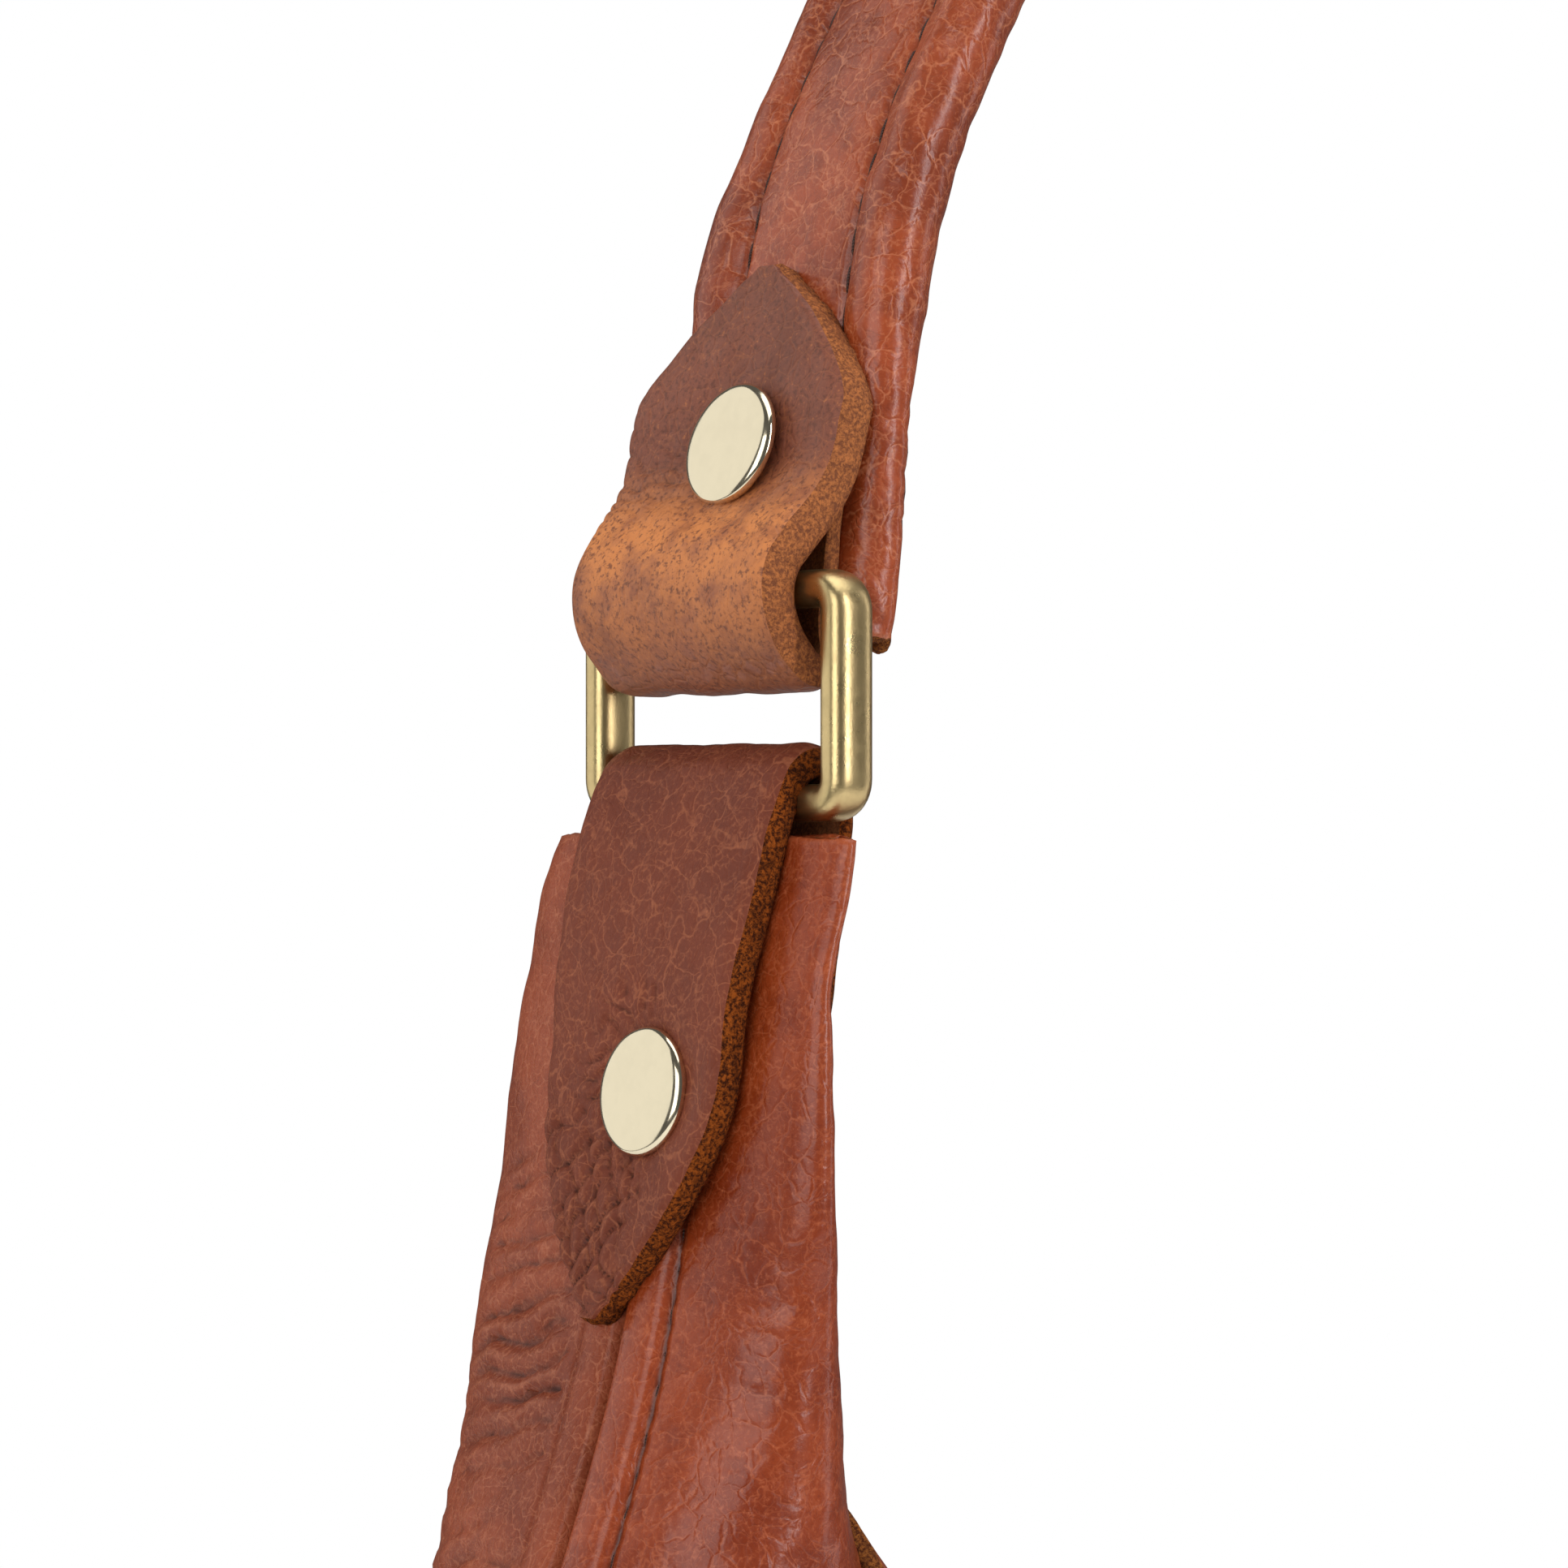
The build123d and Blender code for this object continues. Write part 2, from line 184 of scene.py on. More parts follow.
def make_mesh(name, points, faces, materials, face_material=None, smooth=True):
    mesh = bpy.data.meshes.new(name)
    mesh.from_pydata((np.asarray(points) * MM).tolist(), [], [list(map(int, f)) for f in faces])
    for m in materials:
        mesh.materials.append(m)
    if face_material is not None:
        mesh.polygons.foreach_set("material_index", np.asarray(face_material, np.int32))
    mesh.polygons.foreach_set("use_smooth", np.full(len(faces), smooth))
    mesh.validate()
    return in_scene(name, mesh)


def grid_faces(rows, columns, start=0, wrap=False, flip=False):
    faces = []
    last = columns if wrap else columns - 1
    for r in range(rows - 1):
        for c in range(last):
            d = (c + 1) % columns
            a, b = start + r * columns + c, start + r * columns + d
            face = (a, b, b + columns, a + columns)
            faces.append(face[::-1] if flip else face)
    return faces


def fix_winding(obj, join=False):
    """Turns every face outward, and first joins points that fall together if join is true."""
    bm = bmesh.new()
    bm.from_mesh(obj.data)
    if join:
        bmesh.ops.remove_doubles(bm, verts=bm.verts, dist=0.002 * MM)
        bmesh.ops.dissolve_degenerate(bm, edges=bm.edges, dist=0.0005 * MM)
    bmesh.ops.recalc_face_normals(bm, faces=bm.faces)
    bm.to_mesh(obj.data)
    bm.free()
    return obj


def stands_for(piece, node, body):
    """The piece is seen in place of this CAD node and on this body."""
    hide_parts(node)
    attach(piece, body)


def slab(name, outer, inner, materials, rims=(2, 2, 2, 2), rim_round=0.25, rough=0.1):
    """A closed sheet between two grids. rims picks the material of the first and last row's edges
    and of the first and last column's; the outer face has material 0 and the inner face 1."""
    rows, columns = outer.shape[:2]
    n = rows * columns
    faces = grid_faces(rows, columns) + grid_faces(rows, columns, n, flip=True)
    kinds = [0] * (len(faces) // 2) + [1] * (len(faces) // 2)
    border = [(r, 0, 2) for r in range(rows - 1)]
    border += [(rows - 1, c, 1) for c in range(columns - 1)]
    border += [(r, columns - 1, 3) for r in range(rows - 1, 0, -1)]
    border += [(0, c, 0) for c in range(columns - 1, 0, -1)]
    index = np.array([r * columns + c for r, c, _ in border])
    top, low = outer.reshape(-1, 3)[index], inner.reshape(-1, 3)[index]
    nearby = [
        min(max(r, 1), rows - 2) * columns + min(max(c, 1), columns - 2) for r, c, _ in border
    ]
    away = np.cross(np.roll(top, -1, 0) - np.roll(top, 1, 0), top - low)
    away /= np.maximum(np.linalg.norm(away, axis=1, keepdims=True), 1e-9)
    sign = np.sign(((top - outer.reshape(-1, 3)[nearby]) * away).sum(1))
    away *= np.where(sign == 0, 1, sign)[:, None]
    points = [outer.reshape(-1, 3), inner.reshape(-1, 3)]
    rings = [index]
    for step in range(1, RIM_STEPS + 1):
        t = step / (RIM_STEPS + 1)
        layer = top * (1 - t) + low * t
        out = rim_round * math.sin(math.pi * t) ** 0.5 + rough * noise(layer, 0.55, 5)
        rings.append(2 * n + (step - 1) * len(index) + np.arange(len(index)))
        points.append(layer + out[:, None] * away)
    rings.append(index + n)
    size = len(index)
    for a, b in zip(rings[:-1], rings[1:]):
        for k in range(size):
            m = (k + 1) % size
            faces.append((a[k], b[k], b[m], a[m]))
            kinds.append(rims[border[k][2]])
    return fix_winding(make_mesh(name, np.vstack(points), faces, materials, kinds))


def place_end(side, points):
    """From out, y, up at one end to the frame's millimetres."""
    p = np.asarray(points, float)
    return np.stack([side * (RING.x + p[..., 0]), p[..., 1], RING.z + p[..., 2]], axis=-1)


def side_name(side):
    return "right" if side == RIGHT else "left"


# ---- Materials ----


class Nodes:
    """A material's node tree, with short ways to add nodes to it."""

    def __init__(self, name):
        self.material = bpy.data.materials.new(name)
        self.material.use_nodes = True
        self.tree = self.material.node_tree
        self.shader = self.tree.nodes["Principled BSDF"]

    def add(self, kind, inputs=(), **settings):
        made = self.tree.nodes.new(kind)
        for key, value in settings.items():
            setattr(made, key, value)
        for key, value in dict(inputs).items():
            self.set(made.inputs[key], value)
        return made

    def set(self, socket, value):
        if isinstance(value, bpy.types.NodeSocket):
            self.tree.links.new(value, socket)
        else:
            socket.default_value = value

    def shade(self, **values):
        for key, value in values.items():
            self.set(self.shader.inputs[key.replace("_", " ")], value)

    def position(self):
        """The point on the object in millimetres."""
        coordinates = self.add("ShaderNodeTexCoord").outputs["Object"]
        made = self.add("ShaderNodeMapping", {"Vector": coordinates, "Scale": (1000, 1000, 1000)})
        return made.outputs["Vector"]

    def noise(self, where, size, detail=2.0, rough=0.5):
        made = self.add(
            "ShaderNodeTexNoise",
            {"Vector": where, "Scale": 1 / size, "Detail": detail, "Roughness": rough},
        )
        return made.outputs["Fac"]

    def cells(self, where, size):
        """Distance to the nearest border of irregular cells of this size."""
        made = self.add(
            "ShaderNodeTexVoronoi", {"Vector": where, "Scale": 1 / size},
            feature="DISTANCE_TO_EDGE",
        )
        return made.outputs["Distance"]

    def warp(self, where, size, amount):
        swirl = self.add(
            "ShaderNodeTexNoise", {"Vector": where, "Scale": 1 / size, "Detail": 2.0}
        ).outputs["Color"]
        centred = self.vector("SUBTRACT", {0: swirl, 1: (0.5, 0.5, 0.5)})
        scaled = self.vector("SCALE", {0: centred, "Scale": amount})
        return self.vector("ADD", {0: where, 1: scaled})

    def vector(self, operation, inputs):
        return self.add("ShaderNodeVectorMath", inputs, operation=operation).outputs["Vector"]

    def pointed(self):
        """About 0.5 on a flat place, less in a furrow and more on a ridge."""
        return self.add("ShaderNodeNewGeometry").outputs["Pointiness"]

    def range(self, value, low, high, to_low=0.0, to_high=1.0):
        made = self.add(
            "ShaderNodeMapRange",
            {0: value, 1: low, 2: high, 3: to_low, 4: to_high},
            interpolation_type="SMOOTHSTEP",
        )
        return made.outputs["Result"]

    def math(self, operation, a, b):
        return self.add("ShaderNodeMath", {0: a, 1: b}, operation=operation).outputs[0]

    def mix(self, share, a, b):
        made = self.add("ShaderNodeMix", data_type="RGBA")
        self.set(made.inputs["Factor"], share)
        self.set(made.inputs[6], a if isinstance(a, bpy.types.NodeSocket) else (*a, 1))
        self.set(made.inputs[7], b if isinstance(b, bpy.types.NodeSocket) else (*b, 1))
        return made.outputs[2]

    def raised(self, height, distance, strength=1.0, under=None):
        made = self.add(
            "ShaderNodeBump", {"Height": height, "Distance": distance, "Strength": strength}
        )
        if under is not None:
            self.set(made.inputs["Normal"], under)
        return made.outputs["Normal"]


def leather(
    name, base, dark, pale, vein=2.2, hairs=0.4, mottle=0.5, grain=0.05, gloss=0.34, coat=0.15,
):
    """Pull-up leather: cloudy red-brown with a broken net of hair-fine paler cracks, with painted
    shade in its furrows and a painted highlight on its ridges."""
    n = Nodes(name)
    place = n.position()
    wide = n.noise(place, 13, 2)
    cloud = n.noise(place, 3.6, 3, 0.55)
    pores = n.noise(place, 0.42, 4, 0.65)
    broken = n.noise(place, 2.4, 3, 0.6)
    large = n.cells(n.warp(n.warp(place, 6, 5.0), 1.4, 1.3), vein)
    small = n.cells(n.warp(n.warp(place, 3.5, 3.0), 0.8, 0.8), 0.45 * vein)
    hair = n.range(large, 0.0, 0.045, 1.0, 0.0)
    thin = n.range(small, 0.0, 0.07, 1.0, 0.0)
    colour = n.mix(n.range(wide, 0.38, 0.66, 0.0, mottle), base, dark)
    colour = n.mix(n.range(cloud, 0.42, 0.68, 0.0, 0.8 * mottle), colour, dark)
    share = n.math("MULTIPLY", hair, n.range(broken, 0.38, 0.56, 0.25 * hairs, hairs))
    colour = n.mix(share, colour, pale)
    share = n.math("MULTIPLY", thin, n.range(broken, 0.62, 0.46, 0.0, 0.6 * hairs))
    colour = n.mix(share, colour, pale)
    colour = n.mix(n.range(pores, 0.52, 0.70, 0.0, 0.30), colour, pale)
    colour = n.mix(n.range(pores, 0.30, 0.45, 0.35, 0.0), colour, dark)
    # Painted shade in the furrows and a painted highlight on the ridges, read from the mesh's
    # pointiness.
    pointed = n.pointed()
    painted_furrow_shade = tuple(0.35 * c for c in dark)
    colour = n.mix(n.range(pointed, 0.515, 0.56, 0.0, 0.22), colour, pale)
    colour = n.mix(n.range(pointed, 0.42, 0.492, 0.85, 0.0), colour, painted_furrow_shade)
    glazed = n.raised(n.noise(place, 1.1, 4, 0.6), 0.8 * grain * MM, 1.0)
    glazed = n.raised(n.range(large, 0.0, 0.16), 0.45 * grain * MM, 1.0, glazed)
    normal = n.raised(n.range(small, 0.0, 0.20), 0.6 * grain * MM, 1.0, glazed)
    normal = n.raised(pores, 0.9 * grain * MM, 0.9, normal)
    rough = n.range(cloud, 0.35, 0.7, gloss + 0.10, gloss - 0.04)
    n.shade(Base_Color=colour, Roughness=rough, Normal=normal)
    n.shade(Coat_Weight=coat, Coat_Roughness=0.26, Specular_IOR_Level=0.10, Coat_Normal=glazed)
    return n.material


def waxed_leather(name):
    """Smooth thick waxed leather, paler and more orange where it bends round the ring."""
    n = Nodes(name)
    base, dark, bend = (0.205, 0.062, 0.034), (0.110, 0.034, 0.020), (0.58, 0.200, 0.055)
    place = n.position()
    up = n.add("ShaderNodeSeparateXYZ", {0: place}).outputs["Z"]
    ring_up = float(RING.z)
    bent = n.math(
        "MULTIPLY",
        n.range(up, ring_up - 3, ring_up + 13),
        n.range(up, ring_up + 12, ring_up + 19, 1.0, 0.0),
    )
    mottle = n.noise(place, 3.2, 4, 0.62)
    patch = n.noise(place, 9, 3)
    speck = n.noise(place, 0.42, 4, 0.7)
    colour = n.mix(n.range(patch, 0.4, 0.75, 0.0, 0.5), base, dark)
    share = n.math("MULTIPLY", bent, n.range(mottle, 0.28, 0.62, 0.25, 1.0))
    colour = n.mix(share, colour, bend)
    colour = n.mix(n.range(speck, 0.50, 0.64, 0.0, 0.75), colour, dark)
    colour = n.mix(n.range(speck, 0.30, 0.42, 0.35, 0.0), colour, bend)
    lines = n.cells(n.warp(place, 2, 1.0), 1.5)
    colour = n.mix(n.range(lines, 0.0, 0.04, 0.10, 0.0), colour, bend)
    # Painted highlight on the ridges and painted shade in the furrows, read from the mesh's
    # pointiness.
    pointed = n.pointed()
    colour = n.mix(n.range(pointed, 0.52, 0.57, 0.0, 0.35), colour, (0.30, 0.12, 0.085))
    colour = n.mix(n.range(pointed, 0.42, 0.49, 0.8, 0.0), colour, tuple(0.5 * c for c in dark))
    rough = n.range(mottle, 0.3, 0.7, 0.42, 0.58)
    normal = n.raised(speck, 0.03 * MM, 0.7)
    normal = n.raised(n.range(lines, 0.0, 0.16), 0.05 * MM, 0.8, normal)
    n.shade(Base_Color=colour, Roughness=rough, Normal=normal)
    n.shade(Coat_Weight=0.05, Coat_Roughness=0.35, Specular_IOR_Level=0.28)
    return n.material


def raw_edge(name, pale=(0.43, 0.15, 0.035), dark=(0.10, 0.028, 0.012)):
    """A cut edge or flesh side: fibrous suede with dark gaps between its fibres."""
    n = Nodes(name)
    place = n.warp(n.position(), 0.9, 0.5)
    fibre = n.noise(place, 0.30, 5, 0.75)
    clump = n.noise(n.position(), 1.3, 3, 0.6)
    colour = n.mix(n.range(fibre, 0.40, 0.62), dark, pale)
    colour = n.mix(n.range(clump, 0.52, 0.75, 0.0, 0.6), colour, dark)
    normal = n.raised(fibre, 0.30 * MM, 1.0)
    n.shade(Base_Color=colour, Roughness=0.92, Normal=normal)
    n.shade(Specular_IOR_Level=0.08)
    return n.material


def brass(name, colour, rough, grain, size=0.16, hazed=0.45):
    """Pale cast or polished brass with a fine orange-peel surface."""
    n = Nodes(name)
    place = n.position()
    peel = n.noise(place, size, 3, 0.6)
    haze = n.noise(place, 1.6, 3, 0.6)
    darker = tuple(c * 0.72 for c in colour)
    tone = n.mix(n.range(haze, 0.35, 0.75, 0.0, hazed), colour, darker)
    n.shade(Base_Color=tone, Metallic=1.0)
    n.shade(Roughness=n.range(haze, 0.3, 0.7, rough, rough + 0.08))
    n.shade(Normal=n.raised(peel, grain * MM, 1.0))
    return n.material


def thread_material(name):
    n = Nodes(name)
    twist = n.add(
        "ShaderNodeTexWave", {"Vector": n.position(), "Scale": 2.2, "Distortion": 0.4},
        bands_direction="DIAGONAL",
    ).outputs["Fac"]
    n.shade(Base_Color=n.mix(twist, (0.032, 0.012, 0.008), (0.085, 0.03, 0.018)))
    n.shade(Roughness=0.62, Normal=n.raised(twist, 0.08 * MM, 1.0))
    return n.material


def woven(name, one, other, size=0.5):
    """A plain weave of two close shades, with threads of this size."""
    n = Nodes(name)
    wave = {"Vector": n.position(), "Scale": 0.5 / size}
    warp, weft = (n.add("ShaderNodeTexWave", wave, bands_direction=way) for way in "XZ")
    weave = n.math("MULTIPLY", warp.outputs["Fac"], weft.outputs["Fac"])
    n.shade(Base_Color=n.mix(weave, one, other), Roughness=0.9)
    n.shade(Normal=n.raised(weave, 0.12 * MM, 1.0))
    return n.material


def felt(name, colour):
    n = Nodes(name)
    fuzz = n.noise(n.position(), 0.5, 5, 0.7)
    darker = tuple(c * 0.7 for c in colour)
    n.shade(Base_Color=n.mix(fuzz, darker, colour), Roughness=0.95)
    n.shade(Normal=n.raised(fuzz, 0.25 * MM, 1.0))
    return n.material


LEATHER = leather(
    "bag_leather", (0.270, 0.055, 0.020), (0.125, 0.020, 0.007), (0.50, 0.180, 0.090),
    vein=1.9, hairs=0.30, gloss=0.42, coat=0.25,
)
# The same leather as bag_leather, coloured darker and more saturated for the front panel: a
# painted-light copy standing in for the weaker sheen that side catches.
FRONT_LEATHER = leather(
    "front_leather", (0.265, 0.040, 0.007), (0.125, 0.012, 0.002), (0.54, 0.150, 0.060),
    vein=2.0, hairs=0.26, mottle=0.5, gloss=0.40, coat=0.65,
)
STRAP_LEATHER = leather(
    "strap_leather", (0.320, 0.055, 0.013), (0.140, 0.018, 0.003), (0.62, 0.220, 0.100),
    vein=2.5, hairs=0.40, mottle=0.6, grain=0.06, gloss=0.38, coat=0.75,
)
TAB_LEATHER = leather(
    "lower_tab_leather", (0.170, 0.041, 0.021), (0.110, 0.025, 0.013), (0.42, 0.140, 0.062),
    vein=2.8, hairs=0.36, mottle=0.35, gloss=0.46, coat=0.05,
)
WAXED = waxed_leather("upper_tab_leather")
EDGE = raw_edge("raw_edge")
DARK_EDGE = raw_edge("tab_edge", (0.33, 0.078, 0.010), (0.040, 0.009, 0.003))
PALE_EDGE = raw_edge("pale_edge", (0.55, 0.19, 0.06), (0.22, 0.075, 0.035))
FLESH = raw_edge("flesh_side", (0.36, 0.14, 0.055), (0.20, 0.07, 0.028))
RING_BRASS = brass("ring_brass", (0.68, 0.52, 0.25), 0.27, 0.016)
CAP_BRASS = brass("cap_brass", (0.86, 0.76, 0.55), 0.09, 0.002, hazed=0.10)
THREAD = thread_material("thread")
TAPE = woven("seam_tape_weave", (0.05, 0.028, 0.02), (0.11, 0.06, 0.04))
FELT = felt("core_felt", (0.62, 0.58, 0.50))


# ---- Stitches ----


def read(where, at, values):
    """The values' rows, read between the places at which they are known."""
    return np.stack([np.interp(where, at, column) for column in values.T], axis=-1)


def stitch_row(path, up, length=2.4, gap=0.65, radius=0.14):
    """Points and faces of a row of stitches on a path, each sunk at its ends."""
    steps = np.linalg.norm(np.diff(path, axis=0), axis=1)
    at = np.concatenate([[0], np.cumsum(steps)])
    pitch = length + gap
    half = [(0, 1, 0), (0.75, 0.85, -0.5), (1, 0.3, -1.6)]  # place, fatness and rise
    shape = np.array([(-w, fat, rise) for w, fat, rise in half[:0:-1]] + half)
    around = 6
    points, faces = [], []
    for k in range(int(at[-1] / pitch)):
        middle = (k + 0.5) * pitch
        here = read(middle + np.array([-1, 0, 1]) * length / 2, at, path)
        lift = read(middle, at, up)
        along = here[2] - here[0]
        along /= np.linalg.norm(along)
        across = np.cross(along, lift)
        across /= np.linalg.norm(across)
        lift = np.cross(across, along)
        start = len(points)
        for where, fat, rise in shape:
            centre = here[1] + along * where * length / 2 + lift * rise * radius
            for j in range(around):
                a = 2 * math.pi * j / around
                points.append(
                    centre + radius * fat * (across * math.cos(a) + lift * 0.8 * math.sin(a))
                )
        count = len(shape)
        faces += grid_faces(count, around, start, wrap=True)
        faces.append(tuple(range(start, start + around)))
        last = start + (count - 1) * around
        faces.append(tuple(range(last + around - 1, last - 1, -1)))
    return np.array(points), faces


def make_stitches(name, rows, body):
    points, faces, count = [], [], 0
    for path, up in rows:
        p, f = stitch_row(path, up)
        points.append(p)
        faces += [tuple(i + count for i in face) for face in f]
        count += len(p)
    stitches = fix_winding(make_mesh(name, np.vstack(points), faces, [THREAD]))
    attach(stitches, body)


# ---- Ends: tabs, rings and rivets ----

BAR_DROP = 7.9  # from the ring's middle to each of its two bars
STRAP_LEAN = math.radians(8)
NECK_LEAN = math.radians(9)


def from_upper_bar(out, up):
    """Out and up from a ring's middle, for a place in the strap end's leaning plane."""
    return (
        out * math.cos(STRAP_LEAN) - up * math.sin(STRAP_LEAN),
        BAR_DROP + out * math.sin(STRAP_LEAN) + up * math.cos(STRAP_LEAN),
    )


def from_lower_bar(out, down):
    """Out and up from a ring's middle, for a place in the neck's leaning plane."""
    return (
        out * math.cos(NECK_LEAN) + down * math.sin(NECK_LEAN),
        -BAR_DROP + out * math.sin(NECK_LEAN) - down * math.cos(NECK_LEAN),
    )


def ogive(distance, half, point, fullness):
    """A strip's half width at a distance from its tip."""
    share = np.clip(distance / point, 0, 1)
    width = half * np.maximum(1 - (1 - share) ** fullness, 1e-4) ** 0.85
    round_end = 1.7
    near = np.clip(distance, 0, round_end)
    return np.maximum(width, np.sqrt(near * (2 * round_end - near)))


def folded_strip(
    name, side, rows, plane, outline, middle, twist, relief, materials, body, drawn_in=0.0,
):
    """A strip of leather folded round a bar. rows: out, along, thickness down its outer face."""
    curve = Curve(rows)
    lengths = np.arange(0.2, curve.length, 0.22)
    columns = np.sin(np.linspace(-1, 1, 97) * math.pi / 2 * 0.9) / math.sin(math.pi / 2 * 0.9)
    face = curve(lengths)
    ahead = np.gradient(face[:, :2], lengths, axis=0)
    way = np.stack([ahead[:, 1], -ahead[:, 0]], axis=1)
    way /= np.linalg.norm(way, axis=1, keepdims=True)
    if (way[5] * (1, 0)).sum() < 0:
        way = -way
    width = ogive(lengths, *outline)
    width = width * (1 - drawn_in * ease(lengths, curve.length - 24, curve.length - 15))
    across = columns[None] * width[:, None]
    y = middle(lengths)[:, None] + across
    lift = relief(np.broadcast_to(lengths[:, None], y.shape), y)
    lift = lift - 0.35 * np.clip((np.abs(columns[None]) - 0.86) / 0.14, 0, 1) ** 2
    layers = []
    for depth in (lift, -face[:, 2:3] + 0.25 * lift):
        out = face[:, 0:1] + way[:, 0:1] * depth
        along = face[:, 1:2] + way[:, 1:2] * depth
        out = out + twist(lengths)[:, None] * y
        o, z = plane(out, along)
        layers.append(place_end(side, np.stack([o, y, z], axis=-1)))
    piece = slab(name + side_name(side), layers[0], layers[1], materials, rim_round=0.3, rough=0.16)
    stands_for(piece, name + side_name(side), body)


UPPER_FACE = [
    (-0.85, 25.7, 3.1), (0.25, 18.8, 3.2), (0.8, 15.6, 3.3), (1.15, 12.6, 3.2), (1.45, 9.6, 3.1),
    (2.35, 7.4, 3.2), (3.95, 5.0, 3.4), (5.4, 2.5, 3.4), (5.95, 0.2, 3.4), (5.65, -2.2, 3.3),
    (4.5, -4.4, 3.2), (2.6, -6.3, 3.0), (0.6, -7.45, 2.8), (-1.4, -7.5, 2.5), (-3.1, -6.3, 2.1),
    (-4.0, -4.2, 1.8), (-4.1, -1.8, 1.7), (-4.1, 2, 1.7), (-4.0, 6, 1.6), (-3.7, 14, 1.3),
]
UPPER_RIVET = (1.3, 11, -1.0)  # out, up and y of its front cap's seat
UPPER_REAR_OUT = -10.4


def upper_relief(s, y):
    d = np.hypot(s - 14.8, y - UPPER_RIVET[2])
    angle = np.arctan2(s - 14.8, y - UPPER_RIVET[2])
    at = np.stack([s, y, 0 * s], axis=-1)
    pressed = -0.45 * bump(d, 3.6, 2.6)
    rays = 0.14 * furrows(4.5 * angle + 0.8 * noise(at, 3, 2), 0.5) * bump(d, 6.6, 1.6)
    rays = rays * ease(np.sin(angle), -0.5, 0.5)
    lines = (s + 0.25 * y) / 1.5 + 0.7 * noise(at, (3, 3, 1), 3)
    folds = 0.36 * furrows(lines, 0.5) * bump(s, 16.5, 4.5) * ease(y, 2.5, 6)
    return pressed + rays + folds + 0.10 * noise(at, 2.6, 4)


UPPER_TWIST, LOWER_TWIST = 0.07, -0.07  # how far a tab's free end turns, in mm out per mm of y


def make_upper_tab(side):
    folded_strip(
        "upper_tab_", side, UPPER_FACE, from_upper_bar, (11.4, 11.5, 1.35),
        middle=lambda s: 0.2 + 0 * s,
        twist=lambda s: UPPER_TWIST * ease(-s, -26, -14),
        relief=upper_relief, materials=[WAXED, FLESH, PALE_EDGE],
        body="strap", drawn_in=0.24,
    )


LOWER_FACE = [
    (6.1, 39.8, 2.5), (6.0, 34, 2.5), (5.8, 28.5, 2.4), (5.6, 24.5, 2.4), (5.6, 20.5, 2.4),
    (6.0, 15.5, 2.4), (5.65, 9.7, 2.4), (4.95, 4.2, 2.4), (4.35, 0.6, 2.4), (3.1, -2.7, 2.4),
    (0.9, -4.35, 2.4), (-1.4, -4.1, 2.2), (-3.4, -2.3, 1.9), (-4.1, 0.8, 1.6),
    (-4.15, 4, 1.55), (-4.15, 26.6, 1.5),
]
LOWER_RIVET = (5.3, 22.5, -1.8)  # out, down and y of its front cap's seat
LOWER_REAR_OUT = -4.2
LOWER_RIVET_PLACE = 17.4  # from the tip, along the tab


def lower_relief(s, y):
    at = np.stack([s, y, 0 * s], axis=-1)
    centre = LOWER_RIVET_PLACE
    d = np.hypot(s - centre, y - LOWER_RIVET[2])
    angle = np.arctan2(s - centre, y - LOWER_RIVET[2])
    pressed = -0.5 * bump(d, 3.4, 3.0)
    rays = 0.40 * furrows(3.2 * angle + 1.1 * noise(at, 3.5, 2), 0.6) * bump(d, 7.0, 2.4)
    rays = rays * ease(y, -4.5, -1)
    above = ease(s, centre + 4, centre + 7) * ease(-s, -centre - 18, -centre - 11)
    lines = 0.16 * furrows(0.45 * y + 0.6 * noise(at, (9, 3, 1), 6), 0.3) * above
    lines = lines * bump(y, LOWER_RIVET[2] + 2.5, 4)
    creased = ease(-s, -centre - 2, -centre + 5) * ease(y, -4.5, 0)
    ahead = (0.75 * s + 0.66 * y) / 2.3 + 0.6 * noise(at, 5, 8)
    across = (0.55 * s - 0.84 * y) / 2.7 + 0.6 * noise(at, 5, 19)
    pebbles = (0.50 * furrows(ahead, 0.6) + 0.42 * furrows(across, 0.6)) * creased
    return pressed + rays + lines + pebbles + 0.08 * noise(at, 2.3, 9)


def make_lower_tab(side):
    folded_strip(
        "lower_tab_", side, LOWER_FACE, from_lower_bar, (11.1, 18, 1.6),
        middle=lambda s: 0.35 + 1.4 * ease(-s, -26, 0),
        twist=lambda s: LOWER_TWIST * ease(-s, -34, -20),
        relief=lower_relief, materials=[TAB_LEATHER, FLESH, DARK_EDGE],
        body="bag",
    )


RING_INNER = (25.4, 13)
RING_BAR = 2.8
RING_DEPTH = 4.0
RING_CORNER = 3.2


